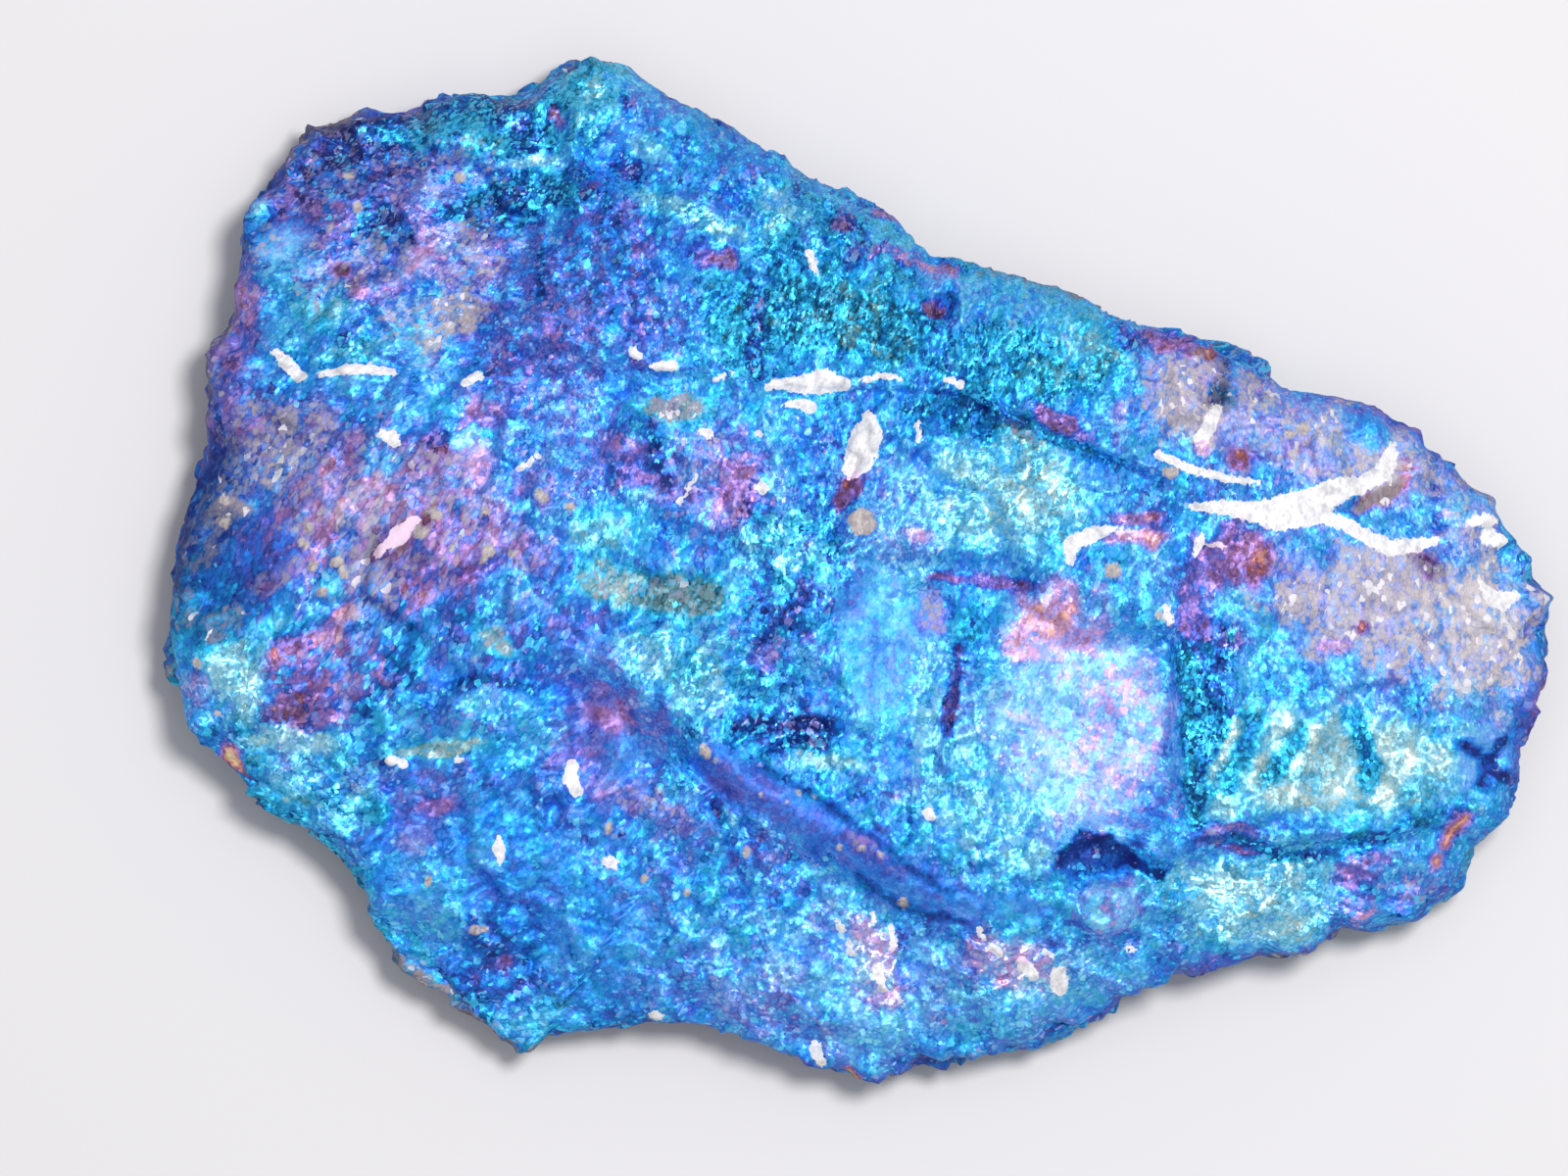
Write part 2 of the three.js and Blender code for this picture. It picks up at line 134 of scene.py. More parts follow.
# The broken planes of the upper face: a point on each and its lean, in mm of rise per mm.
PLANES = (
    ("table", (0, 10, 27.5), (-0.02, 0.01)),
    ("right end", (50, 0, 26.5), (-0.2, 0.03)),
    ("upper left shoulder", (-35, 38, 26.6), (0.1, -0.2)),
    ("left end", (-62, 0, 25.5), (0.32, 0.02)),
    ("front left bevel", (-34, -7, 27.6), (0.15, 0.22)),
    ("front bevel", (30, -36, 26), (-0.02, 0.4)),
    ("upper edge", (24, 30, 26.6), (-0.2, -0.42)),
    ("lower left corner", (-60, -26, 20.5), (0.16, 0.32)),
)

# Steps in the upper face: path, drop, width, reach. The low side is on the right of the path.
LEDGES = (
    ("front scarp", ((-34, -6), (-24, -16.5), (-16.5, -24), (-4, -32), (8, -38.2), (18, -40.5)),
     2.8, 4.8, 20),
    ("lower right ledge", ((35, -35), (45, -32), (56, -31.5), (66, -31), (77, -28.6)),
     2.4, 2.4, 15),
    ("panel step", ((39.2, -5), (39.8, -19), (40.6, -32)), 3, 2, 15),
    ("middle crease", ((13.3, -0.5), (12.2, -7), (12.8, -14), (10.8, -21.5), (9.5, -27)),
     1.7, 1.3, 10),
    ("fold below the vein", ((14, 22.5), (22, 19.3), (30.7, 15), (39, 11.5)), 2, 1.6, 12),
    ("crack by the green patch", ((-26, 24), (-28.5, 18.5), (-30.5, 12)), 1.8, 1.2, 9),
    ("drop under the white patch", ((2, 13.6), (-1.2, 10), (-4.2, 5.5)), 1.6, 1.8, 8),
    ("west slope", ((-31, 54), (-30, 38), (-30, 22)), 3, 15, 60),
    ("vein step", ((-71, 25.5), (-55, 24), (-45, 23.5), (-33, 26), (-18, 24.5), (-5, 23),
                   (15, 22.5)), 1, 1, 8),
)

# Hollows and lumps: middle, half-widths, turn in degrees, depth or height.
HOLLOWS = (
    ("bowl behind the scarp", (-9.5, -17.5), (14, 8.5), -38, 2.6),
    ("alcove", (30, -35.4), (6.4, 3.6), 0, 2.6),
    ("panel", (27, -19), (12.8, 17), 0, 2),
    ("overhung pocket", (12.5, 19.2), (5.2, 3.2), 8, 2.1),
    ("pink pit", (10.6, 32), (2.2, 2.4), 0, 2.6),
    ("dark pit", (-37, -29), (1.7, 2.6), 0, 2.2),
    ("notch", (-17, -27.5), (1.9, 3.4), 0, 1.8),
    ("smooth blue face", (4, -10), (6, 13), 4, 0.9),
    ("round lower hollow", (-40, -46), (6, 6.4), 0, 1.8),
    ("crossed pit", (77, -23), (3.6, 3.8), 0, 1.3),
    ("top hollow", (-29, 50.2), (5.4, 3.4), -15, 2.2),
    ("corner hollow", (-64, 50.5), (5.4, 4.2), 25, 1.7),
    ("shoulder hollow", (-58, 40), (6.6, 4.4), 25, 1.4),
    ("right bay", (60, -23.5), (9.5, 5.6), -6, 1.7),
)
LUMPS = (
    ("top knob", (-33, 57.5), (8, 6), 0, 2.4),
    ("boss below the alcove", (30.6, -41.2), (5, 4.4), 0, 2.6),
    ("upper lump", (-4, 41.5), (7, 5.4), -20, 1.7),
    ("second upper lump", (3.5, 34), (5, 4), 15, 1.2),
    ("teal dome", (20, 11), (10, 7.6), -12, 1.6),
    ("speckled rise", (-21, -12.5), (8.5, 5), -42, 1),
    ("front swell", (-2, -52), (14, 6.5), -8, 1.4),
)

# Places where the upper face is smoother: middle, half-widths, turn, and how much smoother.
SMOOTH_PLACES = (
    ("panel", (27, -19), (12, 14), 0, 0.6),
    ("smooth blue face", (3, -9), (5.5, 11), 4, 0.7),
    ("scarp face", (-4, -31.5), (19, 3.2), -33, 0.7),
    ("scarp face, left", (-27, -16), (9, 4), -45, 0.5),
    ("left facet", (-70, 40.5), (3.6, 3), -10, 0.9),
    ("smooth left slope", (-74, 1), (7, 5), 0, 0.6),
    ("boss", (30.5, -41), (4, 3), 0, 0.5),
)

# Cracks and crests: path, rise (negative for a crack), width.
LINES = (
    ("scarp crest", ((-34, -6), (-16, -23), (-3.5, -31), (9, -37.4)), 0.6, 1.6),
    ("upper edge crack", ((45.8, 27.5), (45, 24), (43.2, 20)), -1.5, 0.8),
    ("right crack", ((70.3, 18), (70.3, 10), (70.9, 4)), -0.9, 0.5),
    ("short crease", ((13, -0.6), (18, -1), (22.6, -1.6)), -0.5, 0.7),
    ("outer ripple", ((-16, -21.2), (-11, -18.6), (-5, -18.2), (-1, -20)), -0.9, 0.7),
    ("inner ripple", ((-12.5, -22.8), (-8.5, -20.7), (-3, -21)), -0.9, 0.7),
    ("first fold", ((48.4, -16.6), (45.2, -26)), -0.5, 1.4),
    ("second fold", ((54, -19.6), (50, -25.2)), -0.4, 1.2),
    ("third fold", ((60, -17), (62.7, -25.8)), -0.4, 1.1),
    ("lower right crest", ((61, -38.6), (70, -34), (76, -30.6)), 0.9, 1.1),
)

# ---------------------------------------------------------------- the colours of the slab

# Where each tint stands in the order that a thickening tarnish runs through.
BRASS, COPPER, RUST, MAROON, MAGENTA, VIOLET = 0.0, 0.08, 0.16, 0.26, 0.34, 0.42
INDIGO, ROYAL, AZURE, CYAN, TEAL, GREEN = 0.50, 0.58, 0.68, 0.78, 0.88, 1.0

# What a patch may set: film is its tint, shade goes from -1 (dark) to 1 (pale), dull is how much
# grey matrix covers the tarnish, earth how tan that matrix is, sparkle how much it glitters, and
# mingle how far the tints of neighbouring flakes differ. Shade holds the tarnish's own tone, and
# also painted shade in hollows and cracks and painted highlights where patches glint. Sparkle sets
# the flakes' lean and gloss, and also how many painted glints and how much painted gap shade.
CHANNELS = dict(film=0.66, shade=0.0, dull=0.1, earth=0.3, sparkle=0.5, mingle=0.17)

# How ragged a patch's or a band's rim is: at most so many mm, and such a share of its size.
BROAD_RAG, FINE_RAG, BAND_RAG = (2.6, 0.6), (1.2, 0.4), (0.9, 0.7)
PATCH_RIM, BAND_RIM = (1.3, 0.55), (1.35, 0.6)  # shares of its size where a mask is 0, and 1
TOP_ENDS = (1.1, 1.8)  # travel over which what belongs to the upper face fades
# Where the wall's finish comes in, it holds painted shade as well as the wall's own duller matrix.
WALL_STARTS = (1.05, 1.7)  # travel over which the wall's own finish comes in

# Soft noises of the finish: cell in mm, and seed.
SLOW, MEDIUM, QUICK = (23, 33), (6, 34), (2.4, 35)
BROAD_WARPS, FINE_WARPS = ((4.2, 41), (4.2, 42)), ((1.3, 43), (1.3, 44))
DULL_NOISES = ((5, 36), (2.2, 37))
WIDE, EARTHY = (17, 51), (11, 52)
FINISH_STRETCH = 1.2  # how much longer along the grain these noises are

# What noise adds: film takes slow, medium and quick noise alike.
FILM_NOISE, MEDIUM_SHADE, QUICK_SHADE, DULL_NOISE = 0.03, 0.06, 0.08, 0.12
CHIP_SHARE, CHIP_SPARKLE = 0.35, 1.2  # how much of the chips' tone shows, plain and by sparkle
# Painted shade in the cracks: CRACK_SHADE darkens each crack more the deeper it is.
CRACK_SHADE = 0.9  # how much a crack darkens for each mm of its depth

# On the wall and below, each channel gains a base and a share of one noise.
WALL_FINISH = (
    ("film", -0.04, 0.24, "wide"),
    # Painted shade: the wall and underside are darkened where the stone turns down from its top.
    ("shade", -0.45, -0.2, "medium"),
    ("dull", 0.05, 0.4, "earthy"),
    ("earth", 0.2, 0.4, "earthy"),
    ("sparkle", -0.05, 0.4, "wide"),
)


def given(**sets):
    """The channels that are set, without those left at None."""
    return {name: value for name, value in sets.items() if value is not None}


def patch(_name, x, y, half_x, half_y, film=None, shade=None, turn=0, **sets):
    """A patch: its middle, its half-widths, its turn in degrees, and what it sets."""
    return (x, y), (half_x, half_y), turn, given(film=film, shade=shade, **sets)


def band(_name, path, half_width, film=None, shade=None, **sets):
    """A band along a path: its half-width and what it sets."""
    return path, half_width, given(film=film, shade=shade, **sets)


# Patches: name, middle, half-widths, film and shade, and then what else they set. Later ones lie
# over earlier ones. Some paint shade and some paint highlights, as marked below.
PATCHES = (
    # broad fields first
    patch("violet upper left", -58, 45, 18, 16, 0.54, 0.14, dull=0.36, sparkle=0.62),
    patch("violet field", -37, 32, 11, 14, 0.515, -0.05, mingle=0.16),
    patch("royal field", -33, 42, 9, 8, 0.55, -0.08),
    patch("upper middle blue", -15, 50, 10, 8, 0.62, -0.1, turn=-30, dull=0.2),
    patch("upper left blue", -62, 53, 13, 6, 0.6, -0.3, turn=12, sparkle=0.8),
    patch("teal band at the top", -43, 55, 12, 4, 0.78, -0.3, sparkle=1),
    patch("upper bright azure", -5, 42, 10, 6, 0.69, -0.16, turn=-20, sparkle=0.9),
    patch("upper teal field", -4, 32, 11, 7, 0.78, -0.36, turn=-10, sparkle=0.8),
    patch("dark teal corner", -14, 30, 4, 6, 0.8, -0.4, sparkle=0.8),
    patch("upper right azure", 19, 32, 11, 5, 0.67, 0.15, turn=-15, dull=0.28),
    patch("dark teal by the vein", 20, 25, 13, 4.5, 0.8, -0.4, turn=-12, sparkle=0.9, dull=0.15),
    patch("lilac plain", 42, 21, 11, 7, 0.52, 0.45, turn=-15, dull=0.54, earth=0.5, sparkle=0.3,
          mingle=0.18),
    patch("lilac plain, right", 60, 16, 15, 7, 0.54, 0.5, turn=-15, dull=0.53, earth=0.5,
          sparkle=0.3, mingle=0.18),
    patch("pale blue end", 77, 9, 6, 6, 0.62, 0.6, dull=0.35),
    patch("grey field", 64, -3, 17, 10, 0.54, 0.5, turn=-8, dull=0.56, earth=0.5, sparkle=0.3,
          mingle=0.16),
    patch("grey end", 77, -8, 9, 10, 0.58, 0.75, dull=0.6, earth=0.6),
    patch("violet left edge", -77, 22, 5, 12, 0.5, -0.15, turn=15, dull=0.2),
    patch("mauve left field", -69, 15, 10, 9, 0.48, 0.1, dull=0.5, earth=0.4),
    patch("left slope", -76, 1, 8, 8, 0.55, -0.6, dull=0.46, sparkle=0.15),
    patch("lilac left of middle", -56, 9, 15, 9, 0.46, 0.22, turn=20, dull=0.42, mingle=0.24),
    patch("maroon field", -58, 1, 9, 7, 0.385, -0.1, turn=10, dull=0.36, mingle=0.26),
    patch("mauve field with crumbs", -45, 3, 9, 5, 0.45, 0.0, dull=0.4),
    patch("violet azure", -37, 15, 9, 8, 0.56, 0.1),
    patch("violet lower left", -65, -14, 11, 7, 0.53, 0.02, turn=20, dull=0.28, mingle=0.32),
    patch("lower left glitter", -66, -26, 14, 6, 0.71, 0.2, turn=-40, sparkle=0.9),
    patch("lower azure field", -45, -33, 17, 11, 0.63, -0.1, dull=0, sparkle=0.32, mingle=0.12),
    patch("violet in the azure", -53, -26, 8, 4, 0.55, -0.1),
    patch("lower azure plain", -30, -45, 12, 9, 0.635, -0.04, dull=0, sparkle=0.32, mingle=0.12),
    patch("royal lower field", -35, -13, 7, 10, 0.575, 0.0, turn=20, sparkle=0.4, mingle=0.13),
    patch("violet lower field", -29, -20, 7, 8, 0.53, 0.05, turn=30, sparkle=0.3),
    patch("violet middle", -17, 10, 9, 8, 0.55, 0.15, dull=0.25),
    patch("middle azure waves", -7, 3, 8, 8, 0.7, -0.06, sparkle=1),
    patch("royal hollow", -8, -5, 6, 4, 0.6, -0.2, sparkle=0.7),
    # Navy tarnish, darkened a little as painted shade in the hollow behind the scarp.
    patch("navy hollow", -11, -17, 9, 5, 0.64, -0.2, turn=-30, sparkle=0.8),
    patch("pale azure right of middle", 6, 7, 6, 8, 0.65, 0.3, dull=0.28),
    patch("teal dome", 19, 9, 11, 8.5, 0.81, 0.5, dull=0.09, sparkle=0.75),
    patch("smooth azure face", 3, -10, 6.5, 12, 0.65, 0.2, turn=4, dull=0, sparkle=0.12),
    patch("cyan column", 10, -20, 4, 9, 0.74, 0.4, sparkle=0.7),
    patch("pale panel", 27, -19, 12.5, 14, 0.61, 0.7, sparkle=0.3, mingle=0.26),
    patch("lilac of the panel", 33, -20, 6, 10, 0.52, 0.62, sparkle=0.3, mingle=0.26),
    patch("pink head of the panel", 24, -6, 7, 5, 0.42, 0.55, dull=0.15),
    patch("cyan foot of the panel", 17, -30, 10, 4.5, 0.75, 0.4, turn=-10, sparkle=0.7),
    patch("lower middle", -4, -51, 22, 9, 0.635, 0.4, dull=0, sparkle=0.5, mingle=0.18),
    patch("lower right of middle", 22, -51, 12, 7, 0.63, 0.34, dull=0.02, sparkle=0.55,
          mingle=0.18),
    patch("lower right teal", 48, -40, 12, 5.5, 0.79, 0.5, turn=5, dull=0.06, sparkle=0.9),
    patch("pale folds", 58, -23, 16, 6.5, 0.96, 0.8, turn=5, dull=0.27, earth=0.2, sparkle=0.7,
          mingle=0.1),
    patch("violet below the scarp", -15, -34, 8, 4, 0.58, 0.0, turn=-20),
    # upper left
    patch("left facet", -70, 40.5, 3.6, 3, 0.65, 0.4, turn=-10, sparkle=0.1),
    patch("shade by the left facet", -72.6, 42, 3.4, 0.9, 0.66, -0.8, turn=48),
    # Painted highlights: glints along the left and upper edges.
    patch("left edge glints", -72.4, 44, 2.2, 0.8, CYAN, 1.0, turn=55, sparkle=1),
    patch("upper edge glints", -68.3, 51.7, 1.8, 0.7, CYAN, 0.8, turn=50, sparkle=1),
    patch("navy corner", -63.5, 51.8, 4, 3, 0.58, -1.1, sparkle=0.8),
    patch("violet band", -55, 49.5, 6, 2.8, 0.5, turn=-10),
    patch("mauve mottling", -64, 43.5, 4.5, 6, 0.52, -0.25, dull=0.32),
    patch("lilac shoulder", -50.5, 42, 5, 6, 0.45, 0.35, turn=-20, dull=0.25),
    patch("mauve middle", -46.5, 41, 3, 5, 0.44, dull=0.5),
    # Painted highlight: lilac glints.
    patch("lilac glints", -53, 39, 4.2, 1.8, 0.42, 0.65, turn=40),
    patch("dark shoulder facets", -58, 41, 3.6, 3.4, 0.63, -0.7, turn=30),
    patch("rose spot", -60.5, 34.4, 1.6, 1, 0.3, 0.2),
    patch("maroon spot", -62.8, 36.4, 1.3, 1, 0.22, -0.8, sparkle=0),
    patch("mauve left edge", -75.5, 33, 2.2, 3.2, 0.42, 0.15, dull=0.4),
    patch("cyan shoulder", -65.5, 32, 4, 3, CYAN, 0.1, turn=-30),
    patch("royal shoulder", -62, 29.5, 5, 1.6, ROYAL, -0.3, turn=20),
    patch("cyan streak above the vein", -61, 27, 6, 1.6, 0.79, 0.15, turn=12, sparkle=1),
    patch("grey bowl", -54, 31, 5, 4.4, shade=0.2, dull=0.45, earth=0.5),
    patch("tan boss", -48.8, 32, 3.2, 3, shade=0.35, dull=0.54, earth=0.7),
    patch("navy hollow at the top", -40.5, 53.6, 4.4, 2, 0.62, -0.95, turn=-20),
    patch("navy under the bright bar", -42, 46.4, 9, 3.6, 0.66, -1.0, turn=8, sparkle=0.8),
    # Painted highlight: a bright bar of glints.
    patch("bright bar", -39.7, 50.4, 3.5, 1.1, CYAN, 0.75, sparkle=1),
    # top and upper middle
    patch("knob", -33, 59.5, 6, 3.8, 0.8, -0.05, sparkle=1),
    patch("rose by the knob", -36.6, 55.8, 1.3, 1, 0.3, 0.1),
    patch("azure right of the knob", -24, 57.5, 4.5, 3.5, 0.64, 0.1, turn=-40, sparkle=0.5),
    patch("slit by the knob", -27.8, 57.5, 0.7, 2.4, 0.6, -0.8),
    patch("navy pit at the top", -28, 49.8, 2.6, 1.4, 0.52, -0.9, turn=-20),
    # Painted highlights: teal glints and a band of glints.
    patch("teal glints", -25, 52, 2.4, 1.4, 0.84, 0.4, turn=-40),
    patch("glint band", -21, 44, 9, 1.7, 0.85, 0.5, turn=-25, sparkle=1),
    patch("brown mottling", -17, 38, 2.6, 1.4, 0.3, -0.2, dull=0.4, earth=0.6),
    patch("cyan facet", -9, 44, 2.8, 3, 0.8, 0.4),
    patch("azure facet", -3.5, 44.5, 3.6, 2.6, 0.73, 0.05),
    patch("violet notch", -1.5, 42.3, 1.4, 1.2, 0.4, -0.5),
    patch("teal edge", 5, 41, 4, 2.2, 0.84, 0.2, turn=-30),
    patch("rose edge", 3.6, 44, 2.6, 1, 0.33, 0.1, turn=-40, dull=0.3),
    patch("blue hollow", 0.3, 39, 2.8, 2.2, 0.55, -0.4),
    patch("rose band", 6.5, 37.8, 5, 1.4, 0.33, 0.4, turn=-15, mingle=0.35, sparkle=0.8),
    patch("rust by the rose band", 11, 37.2, 1.5, 1.2, 0.2, -0.2),
    # Painted shade in the crevice.
    patch("crevice", -12.3, 30, 1.5, 5.8, 0.6, -0.8),
    patch("dark teal facets", 0, 30, 9, 3, 0.84, -0.6),
    patch("rose rim of the pit", 8.4, 32.2, 1.5, 1.2, 0.22, 0.3),
    patch("pit", 9.8, 32, 0.9, 1.3, RUST, -0.9),
    patch("navy oval", 11.1, 32.6, 1.2, 2.1, 0.6, -0.85, sparkle=0.3),
    patch("cyan by the edge", 28, 28, 4, 4, 0.82),
    patch("deep spot", 32.5, 28, 1.7, 1.8, 0.52, -0.35),
    patch("maroon edge", 38.5, 28.3, 4.8, 1.4, 0.27, -0.25, turn=-15, dull=0.3),
    patch("rust edge", 43.2, 27.3, 1.4, 1, 0.13, -0.3, dull=0.3),
    patch("dark teal spot", 44.3, 22, 1.5, 2.1, 0.84, -0.5),
    # left
    patch("teal left edge", -82, 4, 5, 15, 0.7, -1.1, turn=-12, dull=0.54, sparkle=0.15,
          mingle=0.1),
    patch("crumb bed", -76.5, 8, 2.2, 1.8, dull=0.85, earth=0.6),
    patch("smooth indigo", -72.5, 3, 4.2, 2.6, 0.5, -0.5, sparkle=0.3, dull=0.2),
    patch("smooth azure", -78, -1.5, 3.2, 2.2, 0.6, -0.65, sparkle=0.2, dull=0.32),
    patch("grey teal", -79, -6.5, 3.4, 4, 0.74, -0.8, dull=0.54, sparkle=0.2),
    patch("mauve by the crumbs", -72, -2, 2, 1.6, 0.44, dull=0.5),
    patch("maroon above", -52, 14.5, 4.4, 4.2, 0.38, -0.1, mingle=0.14),
    patch("cyan left of maroon", -57, 14, 3.2, 2.8, 0.74, 0.15),
    patch("pink streaks", -60, 8.5, 5.4, 2.4, 0.37, 0.5, turn=35),
    patch("round the pink facet", -55.8, 4.5, 5, 3, 0.33, turn=40),
    patch("rose lilac", -45.5, 13.5, 3, 2.4, 0.35, 0.6, turn=20),
    patch("mauve streak", -45, 19, 4.4, 1.8, 0.36, -0.05, turn=25),
    patch("cyan white", -47.5, 16.2, 2, 1.5, 0.8, 0.8, turn=30),
    patch("violet by the crack", -28, 13, 4.4, 5, 0.44, -0.1),
    patch("cyan below the crack", -26.5, 9.5, 1.8, 1.1, 0.76, 0.4),
    patch("cyan over the grey", -31, 4.5, 5, 2.2, 0.8, 0.3),
    patch("green grey", -29, -1, 5, 2.6, GREEN, 0.1, turn=-10, dull=0.45),
    patch("dark green grey", -21, -2.4, 4.8, 2.6, 0.97, -0.45, dull=0.42, earth=0.4),
    patch("green patch by the vein", -22, 20, 3.4, 2.2, 0.97, 0.05, dull=0.6),
    # Painted highlight: cyan glitter.
    patch("cyan glitter, left", -77, -12.5, 4, 5.4, 0.8, 0.75, turn=-50, sparkle=1, dull=0),
    patch("lilac left edge", -82, -15, 2.4, 4, 0.46, 0.4, turn=20),
    patch("magenta streak", -68, -9.5, 6, 2.2, 0.39, turn=35),
    # Painted highlights: salmon and pink glints.
    patch("salmon glints", -62.3, -4.8, 1.9, 1.1, 0.24, 0.5, turn=35),
    patch("pink glints", -64.3, -8, 1.9, 1.1, 0.31, 0.45, turn=35),
    patch("long magenta streak", -64, -16, 7, 2, 0.39, turn=25),
    patch("maroon streak", -70, -16.5, 3, 1.6, 0.36, -0.1, turn=30),
    patch("navy slope", -55.5, -11, 3.4, 5, 0.6, -0.6, turn=-20),
    patch("navy slope, lower", -59, -16, 3, 1.8, 0.6, -0.5, turn=30),
    patch("cyan bowl", -43, -16.5, 4.6, 3.4, 0.76, 0.2),
    patch("tan green", -43.6, -8, 3.2, 1.3, 0.97, 0.15, turn=-30, dull=0.42, earth=0.6),
    patch("green arc", -51, -21.4, 6, 0.9, GREEN, 0.25, turn=4, dull=0.4),
    # Painted highlight: white glitter.
    patch("white glitter", -69, -20.7, 6, 1.6, 0.8, 1.0, turn=-5, sparkle=1),
    patch("brass", -76.7, -23.5, 2.4, 1.4, -0.2, 0.8, turn=-45, dull=0.2, earth=1, sparkle=0.1,
          mingle=0.05),
    patch("magenta in royal", -30.5, -17, 2.4, 2.6, 0.33, -0.05, sparkle=0.3),
    patch("violet in royal", -34, -21, 3, 1.6, 0.44, turn=30),
    # middle
    patch("bright rise", -20.5, -11, 8.6, 4.4, 0.78, 0.5, turn=-25, sparkle=1),
    # Painted shade in the grooved ripples of the hollow behind the scarp.
    patch("first ripple", -12.5, -17.7, 4, 1.1, 0.56, -0.6, turn=30),
    patch("second ripple", -6, -18.4, 4, 0.9, 0.58, -0.55, turn=8),
    patch("third ripple", -6, -20.6, 3.4, 1, 0.6, -0.65, turn=15),
    patch("pale under the ripples", -3, -22.8, 5, 1.2, 0.95, 0.35, turn=-12, dull=0.4),
    patch("navy slits", -7.5, -4, 2.6, 1.2, 0.55, -0.75, turn=10),
    patch("lilac vertical", 9, -4.5, 1.8, 3.5, 0.5, 0.25, dull=0.45),
    patch("mauve by the face", -10.5, -9.5, 2.2, 2, 0.45, 0.25, dull=0.3),
    patch("maroon dot", -6, -8, 1, 0.8, 0.34),
    patch("maroon run", -15, 8.5, 2.2, 4.8, 0.42, 0.1, turn=-10),
    patch("maroon by the white marks", -14, 13, 4.2, 1.6, 0.4, 0.05, turn=5, mingle=0.2),
    patch("maroon under the white patch", -0.9, 10.3, 2.8, 1.3, 0.28, -0.5, turn=65, sparkle=0.1),
    # Painted shade in the overhung pocket.
    patch("dark teal pocket", 12.5, 19.4, 5, 3, 0.75, -0.7, turn=5, dull=0, sparkle=0.7,
          mingle=0.16),
    patch("olive band", 20, 17.3, 4, 1.2, GREEN, -0.1, turn=-25, dull=0.4),
    patch("maroon band", 25, 18, 4.2, 1.3, 0.3, -0.2, turn=-28),
    patch("lilac white", 7.5, 5, 2, 1, 0.42, 0.8),
    patch("maroon crease", 17.5, -1, 4.6, 0.7, 0.32, -0.1, turn=-6, dull=0.2),
    patch("dark teal step", 13.5, -6.5, 1.6, 3.6, 0.74, -0.55, turn=-10),
    patch("violet groove", 11.6, -15, 0.8, 4.6, 0.5, -0.45, turn=-10),
    patch("salmon", 22.5, -6, 4.4, 3, 0.26, 0.6, mingle=0.3),
    patch("pink white", 22, -9.5, 4, 1.4, 0.36, 1.2, turn=-15),
    # right
    patch("rose under the patch", 34, 4.2, 3.8, 1.1, 0.2, 0.55, turn=5),
    patch("red over the patch", 33.5, 6.6, 3.2, 0.9, 0.27),
    patch("purple patch", 45, 1.5, 5.6, 3.8, 0.38, -0.15, turn=-10, dull=0.15),
    patch("rust in the purple", 48.5, 1.2, 2, 1.6, 0.22, -0.15),
    patch("violet trail", 41, -5, 1.9, 4, 0.37, -0.3),
    patch("violet trail, right", 45, -8, 1.6, 1.6, 0.36, -0.2),
    # Painted shade on the riser of the step, which faces away from the light.
    patch("dark step", 43.2, -16, 3, 9.5, 0.71, -0.55, sparkle=1),
    patch("cyan by the purple", 49, -5.5, 3, 3, 0.75),
    patch("rust spot", 59, -8.7, 2.4, 1.3, 0.26, 0.3, dull=0.35),
    patch("rust dot", 61.7, -6.5, 0.9, 0.8, 0.22, -0.2, dull=0.2),
    patch("azure band", 58, -14.5, 8, 2, 0.66, turn=-10, dull=0.1),
    patch("pale by the folds", 65, -24, 1.7, 3, 0.95, 1.0),
    patch("crossed pit", 76.6, -22.4, 4.2, 4.6, 0.67, 0.4, dull=0, sparkle=0.1, mingle=0.1),
    patch("brown under the vein", 63.5, 9.2, 3.8, 1, 0.2, -0.5, turn=25, dull=0.55, earth=0.9),
    patch("gold by the vein", 67, 12, 1.1, 1.7, 0.04, -0.1, dull=0.3),
    patch("maroon by the vein", 69.8, 1.2, 2.8, 1.7, 0.34, -0.5, turn=-30),
    patch("azure in the bay", 66, 6.2, 5, 1.8, 0.7, dull=0),
    patch("azure by the upper edge", 62, 18, 4, 2, 0.66, 0.1, turn=-20, dull=0),
    patch("rust above the vein", 46.4, 13.9, 2.2, 1.2, 0.29, -0.2, dull=0.3),
    patch("salmon by the bar", 41.5, 14.8, 1.1, 1.1, 0.2, 0.45),
    # lower edge
    # Painted shade in the notch, and painted highlights of glints beside it.
    patch("dark by the notch", -17, -27.5, 1.3, 3, 0.56, -0.8, turn=10),
    patch("glints by the notch", -15.2, -28, 1, 2.4, 0.7, 0.9),
    patch("round hollow", -42, -47.5, 6.4, 6.6, 0.6, -0.55),
    patch("maroon in the hollow", -43.2, -47.6, 1.2, 1.1, 0.33, -0.2),
    patch("magenta thread", -51, -28.5, 3, 1.2, 0.36),
    patch("dark teal dot", -58.5, -28.5, 2.2, 2, 0.8, -0.55),
    patch("lilac dot", -53, -32, 2.7, 1.9, 0.52, 0.4),
    patch("mauve band", -25.5, -28, 5.8, 2.2, 0.47, 0.1, turn=-20, dull=0.35),
    # Painted highlights: pink and lilac glitter.
    patch("pink glitter", 2.5, -46, 4.4, 5.6, 0.42, 1.1, turn=10, sparkle=1, mingle=0.25),
    patch("pink glitter, right", 19.5, -47, 6.8, 2.8, 0.42, 1.1, turn=-30, sparkle=1, mingle=0.25),
    # Painted shade in the alcove.
    patch("alcove", 29.5, -35, 5, 2.8, 0.55, -0.75, sparkle=0.2, mingle=0.08),
    patch("boss", 30.8, -40.8, 4.6, 3.2, 0.58, 0.6, turn=15, sparkle=0.25, mingle=0.3),
    # Painted highlight: bright glitter.
    patch("bright glitter", 45.5, -38, 4.6, 1.6, 0.8, 0.9, sparkle=1),
    patch("mauve ledge", 46, -31.6, 4.8, 1.5, 0.42, 0.1, dull=0.4),
    # Maroon tarnish, darkened as painted shade under the ledge.
